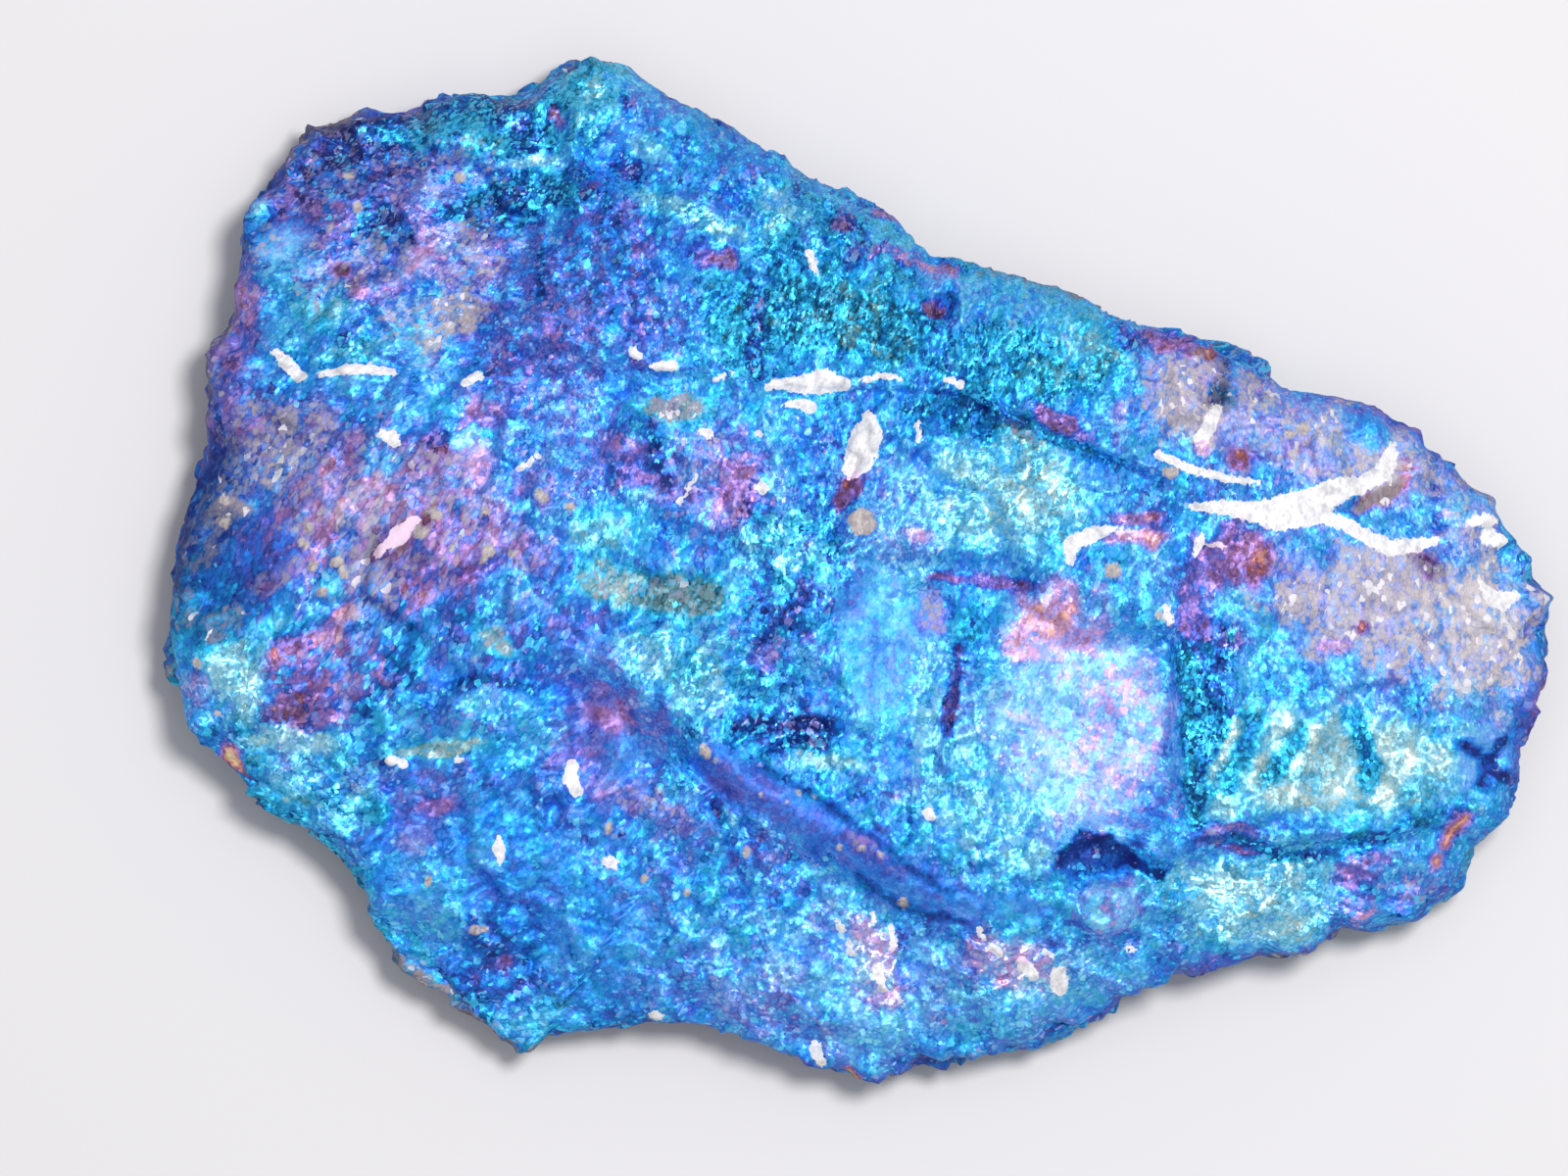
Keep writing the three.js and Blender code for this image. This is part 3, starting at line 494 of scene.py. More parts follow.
    patch("maroon rim", 48, -33.6, 5, 0.8, 0.34, -0.35, turn=-10, mingle=0.1),
    patch("dark wedge", 61.5, -33, 4.2, 1.4, 0.7, -0.7, turn=28),
    patch("mauve slant", 62.5, -35, 4, 1.7, 0.42, 0.15, turn=30, mingle=0.25),
    patch("grey mauve corner", 66, -40, 9.5, 3, 0.52, 0.1, turn=15, dull=0.35, mingle=0.25),
    # Painted highlight: pink glints.
    patch("pink glints, corner", 62.8, -42, 1.9, 0.9, 0.24, 0.9, turn=20),
    patch("pale lower edge", -15, -54.5, 2.8, 1.7, 0.6, 0.5),
    patch("brass on the lower edge", -0.8, -61.6, 1.4, 0.8, -0.15, 0.1),
)

# Bands, over the patches: name, path, half-width, film and shade, and what else they set. Some
# paint shade, as marked below.
BANDS = (
    band("scarp face", ((-16.5, -24.4), (-8, -29), (0, -33.6), (7, -38.4), (13, -40.6)),
         3.1, 0.565, -0.12, dull=0.08, sparkle=0.08, mingle=0.1),
    band("scarp's violet", ((-16.5, -25), (-10, -27.6), (-5, -30.6)), 1.6, 0.52, -0.1),
    band("scarp's grey", ((-1, -31.6), (2.4, -34.2), (5, -36.4)),
         1.1, 0.47, -0.35, dull=0.42, earth=0.4),
    band("scarp's upper rim", ((-12, -23.4), (-5, -27.2), (2, -32.2), (7, -36.2), (12, -39.4)),
         0.5, 0.6, -0.8),
    band("scarp's lower rim", ((0.5, -37), (4, -39.6), (8, -41.4), (13, -42.4)), 0.6, 0.58, -0.75),
    band("blue end of the scarp", ((13, -40.6), (17, -40.8), (22, -41)),
         1.5, 0.62, 0.05, sparkle=0.1, mingle=0.1),
    band("first stroke of the cross", ((74.6, -20.6), (80, -25.4)), 0.7, 0.58, -1.2),
    band("second stroke of the cross", ((79.4, -20.4), (76, -26)), 0.7, 0.58, -1.2),
    band("gold streak", ((70.5, -35.4), (71.8, -33), (74.7, -29.4)),
         0.8, 0, 0.15, dull=0, sparkle=0.1, mingle=0.04),
    band("shade right of the panel", ((39.6, -9), (40.4, -15), (40.8, -24), (41.2, -30)),
         1.3, 0.74, -0.7, sparkle=0.8),
    # Painted shade in the crevices.
    band("crevice", ((-13.6, 37), (-13, 31), (-12, 24.5)), 0.9, 0.66, -0.8),
    band("crevice, right", ((-6.5, 35), (-2, 33), (4, 32.5), (8, 30.5)), 0.8, 0.78, -0.7),
    band("violet line", ((12.4, -9), (12, -14), (11, -19.5)), 0.5, 0.48, -0.6),
    band("maroon line", ((9, -0.2), (13, -0.8), (20, -2)), 0.5, 0.33, -0.3),
    # Painted shade under the fold's ledge.
    band("line under the fold", ((13.5, 20.5), (20, 18.4), (26, 15.6), (32, 13)), 0.8, 0.7, -0.75),
    band("navy crack", ((-24.8, 18), (-24.2, 14), (-22.8, 10.2)), 0.8, 0.56, -0.85),
    # Painted shade under the alcove's brow.
    band("alcove's brow", ((24.6, -34.6), (27.6, -32.2), (30.6, -32.4), (34, -35), (36.6, -37)),
         0.8, 0.58, -1.1),
    band("steel line", ((-30, 30), (-29, 38), (-31, 46)), 1, 0.58, -0.4),
    band("thin crack", ((-38.6, 40), (-38.2, 33.6)), 0.4, 0.6, -0.9),
    band("bowl's upper arc", ((-49, -13.6), (-44, -12.6), (-39.6, -14.4)), 0.7, 0.68, -0.6),
    band("dark upper edge", ((-66, 53.6), (-58, 55.6), (-48, 57.4), (-41, 57.4)), 1.4, 0.66, -0.7),
    band("first fold", ((48.4, -16.6), (47.2, -20.6), (45.2, -26)), 1.6, 0.82, -0.2, dull=0),
    band("pale of the first fold", ((46, -18.4), (44.6, -22), (42.8, -25.4)), 0.9, 0.98, 0.6),
    band("second fold", ((54, -19.6), (52, -22.4), (50, -25.2)), 1.2, 0.84, -0.1, dull=0.1),
    band("third fold", ((60, -17), (62, -20.6), (62.7, -25.8)), 1.1, 0.8, -0.25, dull=0),
    # Painted shade under the lower ledge.
    band("line of the lower ledge", ((41, -32), (47, -32.6), (52, -34.6), (57, -34.4),
         (61, -33.2), (66, -31.2), (74, -28.8)), 0.7, 0.6, -0.6),
)

# White veins and spots, and a few pink glints painted as white marks: strokes through points
# (x, y, half-width).
WHITE_MARKS = (
    ("left bar", (-70.8, 26.8, 0.7), (-69, 25, 0.9), (-67.6, 23.9, 0.6)),
    ("left thread", (-65.5, 24.2, 0.35), (-62, 24.8, 0.6), (-59, 24.9, 0.7), (-56.2, 24.4, 0.4)),
    ("left tick", (-47.8, 23, 0.5), (-46, 24, 0.6)),
    ("small cloud", (-27, 26.8, 0.6), (-26.4, 26.2, 0.5)),
    ("middle cloud", (-24.8, 25.2, 0.5), (-22.3, 25.2, 0.6)),
    ("short thread", (-17.2, 23.6, 0.3), (-15, 24.2, 0.35)),
    ("hook", (-10.8, 22.7, 0.55), (-9.8, 23.2, 0.4)),
    ("speckled blob", (-8.8, 23, 0.8), (-6.5, 22.9, 1.1), (-3.8, 23.4, 1.5), (-1.8, 22.9, 1)),
    ("right thread", (0.4, 23.3, 0.3), (2.6, 24, 0.4), (5.2, 23.7, 0.35)),
    ("far dots", (11, 23.5, 0.4), (12.6, 22.9, 0.5)),
    ("wedge below", (-8.8, 20.4, 0.35), (-7, 20.6, 0.6), (-5.8, 20.2, 0.8)),
    ("wedge above", (-5.8, 38.8, 0.55), (-5.2, 37.2, 0.45), (-4.9, 35.6, 0.1)),
    # Painted highlight: a pink-white glint on a shiny facet, drawn as a white mark.
    ("pink facet", (-58.2, 2.4, 0.5), (-55.8, 4.5, 1.2), (-53.6, 6.4, 0.6)),
    ("left patch", (-57.8, 17, 0.5), (-56.4, 16.4, 0.9), (-55.8, 15.7, 0.5)),
    ("slanted streak", (-41, 12.6, 0.4), (-38.9, 14.2, 0.4)),
    ("small triangle", (-18.9, 17.4, 0.35), (-18, 16.9, 0.75)),
    ("small quad", (-11.8, 10.3, 0.8), (-11.4, 10.3, 0.8)),
    ("small dot", (-12, 17.2, 0.4), (-11.8, 17, 0.4)),
    ("bent thread", (-21.6, 8.7, 0.35), (-20.8, 9.6, 0.3), (-19.6, 11.8, 0.35)),
    ("great patch", (1.3, 18.6, 1), (1.2, 16.5, 1.9), (0.4, 14, 1.9), (-0.6, 12.6, 1.2)),
    ("ticks by the patch", (7.3, 18, 0.35), (7.5, 16, 0.35)),
    ("angular patch", (25.9, 1.4, 0.6), (26, 3.6, 1), (28.6, 4.6, 1), (30.8, 5.4, 0.5)),
    ("angular patch, tail", (30.8, 5.4, 0.4), (34, 5.1, 0.2)),
    ("thin vein", (36.4, 14.5, 0.5), (40, 12.8, 0.6), (44, 11.6, 0.5), (49, 11, 0.35)),
    ("thick vein", (40.4, 8.1, 0.4), (44, 8, 0.9), (47.5, 7.5, 1.1), (51, 7.2, 2.1), (55, 8, 2.3),
     (58, 10, 1.6), (61.5, 10.8, 1.1), (64, 12, 1), (65.2, 14.2, 1.1), (65.6, 16, 0.5)),
    ("lower vein", (56.5, 7, 0.9), (59.5, 6, 0.9), (62.5, 4.2, 0.9), (65, 3.1, 1), (68, 3.4, 0.9),
     (70.6, 4, 0.5)),
    ("leaning bar", (43.8, 20, 0.7), (42.8, 18, 1), (41.8, 16.2, 1)),
    ("tick", (41.8, 4.4, 0.5), (41.2, 2.4, 0.5)),
    ("curl", (43.2, 3.4, 0.4), (44.3, 3.4, 0.4)),
    ("ring", (37.6, -4.2, 0.5), (38, -5.8, 0.6)),
    ("right end, top", (74.8, 6.3, 0.6), (77, 6.6, 0.9), (79, 6.4, 0.5)),
    ("right end, middle", (77, 4.6, 1), (78.6, 4, 1.1)),
    ("right end, rim", (80.6, 3.6, 0.5), (81.4, 1.5, 0.5)),
    ("right end, lower", (75.8, -1, 0.5), (77.5, -2.8, 1), (79.3, -3.6, 1.3), (80.8, -2.6, 0.7)),
    ("right end, streak", (79, -5.6, 0.5), (80.2, -7.8, 0.5)),
    ("lower left quad", (-34.7, -23.6, 0.8), (-34.8, -25, 1), (-34.2, -26.6, 0.7)),
    ("diamond", (-43.6, -31.3, 0.1), (-43.6, -33.6, 0.75), (-43.4, -35.6, 0.2)),
    ("pale lump", (-30.2, -35.2, 0.8), (-29.7, -35.4, 0.8)),
    ("lower ticks", (-56.8, -22.8, 0.6), (-55.2, -23.3, 0.5)),
    ("lower dot", (-48.6, -22.7, 0.5), (-48.2, -22.7, 0.5)),
    ("lower edge patch", (-26.3, -54.8, 0.7), (-24.4, -54.2, 1.1), (-22.8, -54.8, 0.5)),
    ("lower edge spot", (-5, -58.6, 0.9), (-4.2, -60.6, 0.8)),
    ("great spot", (24.7, -49, 1.1), (24.8, -50.8, 1)),
    ("spot beside it", (20.2, -47.6, 0.8), (21.6, -49, 0.7)),
    ("pinkish spot", (2.7, -48.4, 0.8), (3.2, -50.6, 0.5)),
    # Painted highlights: pink-lilac glints, drawn as white marks.
    ("lilac grain, top left", (-2.4, -42.4, 0.4), (-1.8, -43.4, 0.5)),
    ("lilac grain, left", (-1, -45.2, 0.45), (-0.6, -46.4, 0.4)),
    ("lilac grain, top", (2, -41.6, 0.35), (2.3, -42.6, 0.35)),
    ("lilac grain, long", (4.2, -43.2, 0.35), (4.4, -45.6, 0.45)),
    ("lilac grain, bottom", (4.8, -51.2, 0.4), (5.2, -52.2, 0.4)),
    ("lilac grain, right group", (14.8, -43.2, 0.4), (15.4, -44.4, 0.45)),
    ("lilac grain, beside it", (16.4, -45.4, 0.5), (17.4, -46.4, 0.5)),
    ("lilac grain, far right", (23, -46, 0.35), (24, -46.8, 0.35)),
    ("spot by the boss", (33, -45.6, 0.75), (33.4, -45.6, 0.75)),
    ("spot on the lower edge", (36.2, -49.6, 0.6), (36.2, -50.4, 0.7)),
    ("spot on the panel's foot", (8.6, -29.1, 0.7), (8.9, -29.4, 0.7)),
)

# Tan crumbs that stand a little proud: x, y, radius.
CRUMBS = np.array([
    (-62, 48.5, 0.7), (-60.8, 44.6, 0.7), (-64.6, 42.2, 0.8), (-48.4, 48.2, 0.7), (-77, 9, 0.8),
    (-77.5, 6.4, 1), (-66.6, 5.8, 0.7), (-67.4, 3.6, 0.7), (-66.2, 0.9, 0.7), (-63.2, 1.2, 0.8),
    (-62.4, -0.2, 0.5), (-65, -2.2, 0.7), (-53, 5, 1), (-51.2, 7.2, 0.8), (-44.6, 2.7, 0.8),
    (-45.4, 1.6, 0.5), (-49.2, 3, 0.6), (-41.8, 2.4, 0.5), (-45, 7.6, 0.6), (-38.2, 9.4, 0.9),
    (-34.8, 8.2, 0.6), (-80.4, -11, 0.7), (-78.4, -17.4, 0.7), (0.7, 6.2, 1.7), (-18.4, -21.6, 0.8),
    (-17, -22.7, 0.4), (-11.8, -26.8, 0.4), (-7.1, -26.6, 0.35), (-5.2, -27.2, 0.35),
    (-8.5, -27.7, 0.25), (-13.4, -34, 0.6), (-2.2, -33.2, 0.45), (0.6, -33.4, 0.4),
    (3.1, -34.3, 0.4), (5.6, -40.1, 0.7), (-20.8, -39, 0.5), (-30.4, -31, 0.7), (-25.8, -37.4, 0.5),
    (-46.6, -43.6, 0.55), (-45.4, -43.5, 0.4), (-52.4, -37.7, 0.6), (37.2, -5.2, 0.8), (31, 0.2, 1),
    (38, 12.2, 0.9), (54.4, 17.6, 0.8), (52.6, 16.9, 0.5),
], float)

# ---------------------------------------------------------------- small maths


def smoothstep(low, high, value):
    """3 s squared less 2 s cubed, where s is how far value has come from low to high."""
    s = np.clip((value - low) / (high - low), 0, 1)
    return s * s * (3 - 2 * s)


def lattice_random(i, j, k, seed):
    """A number from 0 to 1 that depends only on a lattice point and a seed: its bits, stirred."""
    h = i * np.uint32(0x8DA6B343) ^ j * np.uint32(0xD8163841) ^ k * np.uint32(0xCB1AB31F)
    h = h ^ np.uint32(seed * 0x9E3779B1 & 0xFFFFFFFF)
    h = (h ^ (h >> np.uint32(15))) * np.uint32(0x2C1B3C6D)
    h = (h ^ (h >> np.uint32(12))) * np.uint32(0x297A2D39)
    return (h ^ (h >> np.uint32(15))) / 4294967296.0


def neighbour_cells(points, cell, reach):
    """For each lattice cell about each point: its index arrays, and the point's offset in cells."""
    place = points / cell
    base = np.floor(place).astype(np.int64)
    for step in np.ndindex(*[len(reach)] * 3):
        corner = base + np.array([reach[s] for s in step])
        yield corner.astype(np.uint32).T, (place - corner).T


def chips(points, cell, seed, crisp):
    """Broken facets: each cell holds a random point with a leaning plane through it, and the planes
    are averaged with weights that fall off as exp(-crisp d squared). Gives the relief, from about
    -0.5 to 0.5, and two random numbers of each facet, from -0.5 to 0.5, averaged alike."""
    total = np.zeros((3, len(points)))
    weights = np.zeros(len(points))
    for (i, j, k), (dx, dy, dz) in neighbour_cells(points, cell, (-1, 0, 1)):
        draws = [lattice_random(i, j, k, seed + HASH_STEP * n) for n in range(9)]
        dx, dy, dz = dx - draws[0], dy - draws[1], dz - draws[2]
        plane = dx * (draws[3] - 0.5) + dy * (draws[4] - 0.5) + dz * (draws[5] - 0.5)
        level = 0.5 * (draws[6] - 0.5)
        weight = np.exp(-crisp * (dx * dx + dy * dy + dz * dz))
        total += weight * np.stack([plane + level, draws[7] - 0.5, draws[8] - 0.5])
        weights += weight
    return total / weights


def soft_noise(points, cell, seed):
    """Smooth noise from -1 to 1: random values at lattice corners, blended by smoothstep."""
    total = np.zeros(len(points))
    for (i, j, k), offset in neighbour_cells(points, cell, (0, 1)):
        near = smoothstep(1, 0, np.abs(offset))
        total += near[0] * near[1] * near[2] * lattice_random(i, j, k, seed)
    return 2 * total - 1


def grain_place(points):
    """Place along the grain: across, along and height, in mm. The grain's streaks are rays from a
    far centre: along is the distance to it less a reach, and across is the ray's angle times the
    reach. On the left, a Gaussian bell squeezes along, so that the grain is longer there."""
    dx = points[:, 0] - GRAIN_CENTRE[0]
    dy = points[:, 1] - GRAIN_CENTRE[1]
    across = GRAIN_REACH * np.arctan2(dx, -dy)
    along = np.hypot(dx, dy) - GRAIN_REACH
    bell = np.exp(-(along ** 2 + (across - LEFT_MIDDLE) ** 2) / (2 * LEFT_SPREAD ** 2))
    along *= 1 - LEFT_SQUEEZE * bell
    return np.stack([across, along, points[:, 2]], axis=1)


def relief(points, layers):
    """Sums over the layers, on places squeezed along the grain by stretch: depth times the chips'
    relief, and tone and hue times the chips' random numbers."""
    along = grain_place(points)
    total = np.zeros((3, len(points)))
    for layer in layers:
        stretch = layer.get("stretch", 1)
        place = points if stretch == 1 else along / np.array([1, stretch, HEIGHT_SQUEEZE])
        shares = np.array([layer["depth"], layer.get("tone", 0), layer.get("hue", 0)])
        total += shares[:, None] * chips(place, layer["cell"], layer["seed"], layer["crisp"])
    return total


def along_path(x, y, path):
    """The nearest point of a path: its distance, 1 on the path's right or -1 on its left, and its
    share of the path's length, by projecting on each stretch and keeping the nearest."""
    path = np.array(path, float)[:, :2]
    steps = np.diff(path, axis=0)
    lengths = np.hypot(steps[:, 0], steps[:, 1])
    best = np.full(len(x), np.inf)
    side = np.ones(len(x))
    share = np.zeros(len(x))
    for i, (ux, uy) in enumerate(steps / lengths[:, None]):
        dx = x - path[i, 0]
        dy = y - path[i, 1]
        run = np.clip(dx * ux + dy * uy, 0, lengths[i])
        distance = np.hypot(dx - run * ux, dy - run * uy)
        nearer = distance < best
        best = np.where(nearer, distance, best)
        side = np.where(nearer, np.where(dx * uy - dy * ux >= 0, 1, -1), side)
        share = np.where(nearer, (lengths[:i].sum() + run) / lengths.sum(), share)
    return best, side, share


def ellipse_measure(x, y, middle, radii, turn):
    """Distance from an ellipse's middle in units of its radius: 0 in the middle, 1 on the rim."""
    angle = math.radians(turn)
    dx = x - middle[0]
    dy = y - middle[1]
    u = (dx * math.cos(angle) + dy * math.sin(angle)) / radii[0]
    v = (dy * math.cos(angle) - dx * math.sin(angle)) / radii[1]
    return np.hypot(u, v)


def dome(x, y, middle, radii, turn):
    """1 less the square of the ellipse's measure, and 0 outside the ellipse."""
    return np.maximum(0, 1 - ellipse_measure(x, y, middle, radii, turn) ** 2)


def fade_at_ends(share, fade):
    """0 at both ends of a path and 1 between, by smoothstep over the share fade."""
    return smoothstep(0, fade, share) * smoothstep(1, 1 - fade, share)


def ridge(x, y, path, width):
    """1 on a path, falling as exp(-(distance / width) squared) and fading at its ends."""
    distance, _, share = along_path(x, y, path)
    return np.exp(-((distance / width) ** 2)) * fade_at_ends(share, 0.1)


# ---------------------------------------------------------------- the slab's surface


def top_height(x, y):
    """Height of the upper face: the lowest of its planes, blended as -b log(sum exp(-h / b)), plus
    steps (drop times smoothstep times a Gaussian fall), hollows, lumps and lines."""
    heights = [at[2] + lean[0] * (x - at[0]) + lean[1] * (y - at[1]) for _, at, lean in PLANES]
    height = -PLANE_BLEND * np.log(sum(np.exp(-h / PLANE_BLEND) for h in heights))
    for _, path, drop, width, reach in LEDGES:
        distance, side, share = along_path(x, y, path)
        step = smoothstep(0, width, distance) * np.exp(-((distance / reach) ** 2))
        height -= np.where(side > 0, drop * step * fade_at_ends(share, 0.15), 0)
    for _, middle, radii, turn, depth in HOLLOWS:
        height -= depth * dome(x, y, middle, radii, turn)
    for _, middle, radii, turn, rise in LUMPS:
        height += rise * smoothstep(0, 1, dome(x, y, middle, radii, turn))
    for _, path, rise, width in LINES:
        height += rise * ridge(x, y, path, width)
    return height


def smoothness(x, y):
    """How much smoother the upper face is: each smooth place's share, falling over its rim."""
    total = np.zeros(len(x))
    for _, middle, radii, turn, share in SMOOTH_PLACES:
        inside = smoothstep(1.2, 0.7, ellipse_measure(x, y, middle, radii, turn))
        total = np.maximum(total, share * inside)
    return total


def outline_radius(angle):
    """Distance from the origin to the outline at an angle: where the ray crosses the outline's edge
    from a to b, which is cross(a, b) / cross(ray, b - a)."""
    turn = 2 * math.pi
    corners = OUTLINE[::-1]
    angles = np.arctan2(corners[:, 1], corners[:, 0]) % turn
    order = np.argsort(angles)
    corners, angles = corners[order], angles[order]
    index = np.searchsorted(angles, angle % turn, side="right")
    a = corners[index - 1]
    b = corners[index % len(corners)]
    edge = b - a
    return ((a[:, 0] * b[:, 1] - a[:, 1] * b[:, 0])
            / (np.cos(angle) * edge[:, 1] - np.sin(angle) * edge[:, 0]))


def wander(angle, phase):
    """A slow wave round the stone, from -1 to 1: a sum of three sines."""
    return sum(
        share * np.sin(waves * angle + times * phase) for share, waves, times in WANDER_SINES
    )


def shell_points(angle, travel):
    """The stone's surface at an angle round it and a travel from the middle of its top. Up to the
    waist it is a superellipse between upper face and waist, and below it a quarter ellipse to the
    foot. Relief is added along a direction that leans from up, over outwards, to down. Also gives
    the places before the relief, and the tone and hue of the chips there."""
    radius = outline_radius(angle)
    cos, sin = np.cos(angle), np.sin(angle)
    waist = WAIST_HEIGHT + WAIST_WANDER * wander(angle, 0.8)
    foot = FOOT_SHARE + FOOT_WANDER * wander(angle, 2.1)

    outward = np.minimum(travel, 1)
    upward = np.clip(2 - travel, 0, 1)
    norm = (outward ** EDGE_SQUARENESS + upward ** EDGE_SQUARENESS) ** (1 / EDGE_SQUARENESS)
    curl = (math.pi / 2) * np.clip(travel - 2, 0, 1)
    below = travel > 2
    across = np.where(below, foot + (1 - foot) * np.cos(curl), outward / norm)
    x = across * radius * cos
    y = across * radius * sin
    above = waist + (top_height(x, y) - waist) * upward / norm
    z = np.where(below, waist * (1 - np.sin(curl)), above)

    lean = smoothstep(LEAN_STARTS, 2, travel) + LEAN_BELOW * smoothstep(2, 3, travel)
    tilt = (math.pi / 2) * lean
    on_top = np.clip(np.cos(tilt), 0, 1)
    place = np.stack([x, y, z], axis=1)
    under = smoothstep(UNDER_STARTS, UNDER_FULL, travel)
    wall = np.minimum(relief(place, WALL_CHIPS)[0] - WALL_INSET, WALL_CAP)
    wall += relief(place, SMALL_WALL_CHIPS)[0]
    rugged = 1 - smoothness(x, y)
    side = wall * (1 - under) + relief(place, UNDER_CHIPS)[0] * under
    top, tone, hue = relief(place, TOP_CHIPS)
    rough = side * (1 - on_top) + (top - TOP_INSET) * rugged * on_top
    rough *= 1 - smoothstep(RELIEF_ENDS, 3, travel)
    proud = small_relief(x, y) * on_top
    x = x + (rough + proud) * np.sin(tilt) * cos
    y = y + (rough + proud) * np.sin(tilt) * sin
    z = np.maximum(0, z + rough * np.cos(tilt) + proud)
    return np.stack([x, y, z], axis=1), place, tone, hue


def white_distance(x, y):
    """Distance in mm to the nearest white mark's edge, negative inside: the distance to its stroke
    less the stroke's half-width there, which runs evenly between its points."""
    best = np.full(len(x), FAR)
    for _, *stroke in WHITE_MARKS:
        for a, b in zip(stroke[:-1], stroke[1:]):
            distance, _, share = along_path(x, y, (a, b))
            best = np.minimum(best, distance - (a[2] + (b[2] - a[2]) * share))
    return best


def crumb_distance(x, y):
    """Distance in mm to the nearest crumb's edge, negative inside."""
    best = np.full(len(x), FAR)
    for cx, cy, radius in CRUMBS:
        best = np.minimum(best, np.hypot(x - cx, y - cy) - radius)
    return best


def small_relief(x, y):
    """How proud the crumbs and the white marks stand, with soft shoulders by smoothstep."""
    return (CRUMB_HEIGHT * smoothstep(0.3, -0.6, crumb_distance(x, y))
            + WHITE_HEIGHT * smoothstep(0.3, -0.5, white_distance(x, y)))


# ---------------------------------------------------------------- meshes


def wrapped_square(steps):
    """Angle and reach for each point of a square grid whose rings wrap round the stone: reach is
    the larger of |a| and |b|, and the angle is an eighth of a turn times the smaller over the
    larger, from the side of the square that the point is on."""
    line = np.linspace(-1, 1, steps + 1)
    a, b = np.meshgrid(line, line)
    a, b = a.ravel(), b.ravel()
    wide = np.abs(a) >= np.abs(b)
    larger = np.where(wide, a, b)
    smaller = np.where(wide, b, a)
    swing = (math.pi / 4) * smaller / np.where(larger == 0, 1, larger)
    angle = np.where(wide, swing, math.pi / 2 - swing) + np.where(larger < 0, math.pi, 0)
    return angle, np.abs(larger)


def grid_quads(steps):
    """The corner indices of a square grid's faces, counter-clockwise seen from above."""
    row = np.arange(steps)
    start = (row[:, None] * (steps + 1) + row[None, :]).ravel()
    return np.stack([start, start + 1, start + steps + 2, start + steps + 1], axis=1)


def rim_indices(steps):
    """The indices of a square grid's border, counter-clockwise, each corner once."""
    side = steps + 1
    k = np.arange(steps)
    return np.concatenate([k, steps + k * side, steps * side + steps - k, (steps - k) * side])


def closed_slab(steps):
    """Points and faces of the closed stone: the wrapped shell, and rings that shrink the foot's rim
    to its middle. Also gives, for the finish, each point's place before the relief, its travel and
    its chips' tone and hue."""
    angle, reach = wrapped_square(steps)
    shares, travels = zip(*TRAVEL_SHARES)
    travel = np.interp(reach, shares, travels)
    shell, smooth, tone, hue = shell_points(angle, travel)
    rim = rim_indices(steps)
    count = len(rim)
    middle = shell[rim].mean(axis=0)
    shrink = np.linspace(1, 0, FOOT_RINGS + 1)[1:-1]
    rings = [middle + (shell[rim] - middle) * s for s in shrink]
    points = np.concatenate([shell, *rings, [middle]])
    smooth = np.concatenate([smooth, points[len(shell):]])
    added = len(points) - len(shell)
    travel = np.concatenate([travel, np.full(added, 3.0)])
    tone, hue = np.pad(tone, (0, added)), np.pad(hue, (0, added))

    ring_indices = [rim] + [len(shell) + r * count + np.arange(count) for r in range(len(rings))]
    quads = [grid_quads(steps)]
    for outer, inner in zip(ring_indices[:-1], ring_indices[1:]):
        quads.append(np.stack([np.roll(outer, -1), outer, inner, np.roll(inner, -1)], axis=1))
    last = ring_indices[-1]
    fan = np.stack([np.roll(last, -1), last, np.full(count, len(points) - 1)], axis=1)
    triangles = np.concatenate([split_quads(points, np.concatenate(quads)), fan])
    return points, (smooth, travel, tone, hue), triangles


def split_quads(points, quads):
    """Two triangles for each face, parted along its shorter diagonal."""
    a, b, c, d = quads.T
    across = np.linalg.norm(points[a] - points[c], axis=1)
    other = np.linalg.norm(points[b] - points[d], axis=1)
    one = np.where(across <= other, [a, b, c], [a, b, d])
    two = np.where(across <= other, [a, c, d], [b, c, d])
    return np.concatenate([one.T, two.T])


def add_object(name, data):
    """A new object that shows the data, linked to the scene."""
    made = bpy.data.objects.new(name, data)
    bpy.context.scene.collection.objects.link(made)
    return made


def make_mesh(name, points, triangles):
    """A mesh object from whole arrays, smooth-shaded, in metres."""
    mesh = bpy.data.meshes.new(name)
    mesh.vertices.add(len(points))
    mesh.vertices.foreach_set("co", points.astype(np.float32).ravel())
    mesh.loops.add(3 * len(triangles))
    mesh.loops.foreach_set("vertex_index", triangles.astype(np.int32).ravel())
    mesh.polygons.add(len(triangles))
    mesh.polygons.foreach_set("loop_start", 3 * np.arange(len(triangles), dtype=np.int32))
    mesh.polygons.foreach_set("use_smooth", np.ones(len(triangles), bool))
    mesh.update(calc_edges=True)
    mesh.validate()
    return add_object(name, mesh)


def set_attribute(made, name, values):
    """Writes one number, or one vector, per point to the mesh."""
    vector = values.ndim == 2
    kind = "FLOAT_VECTOR" if vector else "FLOAT"
    attribute = made.data.attributes.new(name, kind, "POINT")
    attribute.data.foreach_set("vector" if vector else "value", values.astype(np.float32).ravel())


def lay(channels, sets, mask):
    """Mixes what sets holds into the channels, by mask."""
    for name, value in sets.items():
        channels[name] += (value - channels[name]) * mask


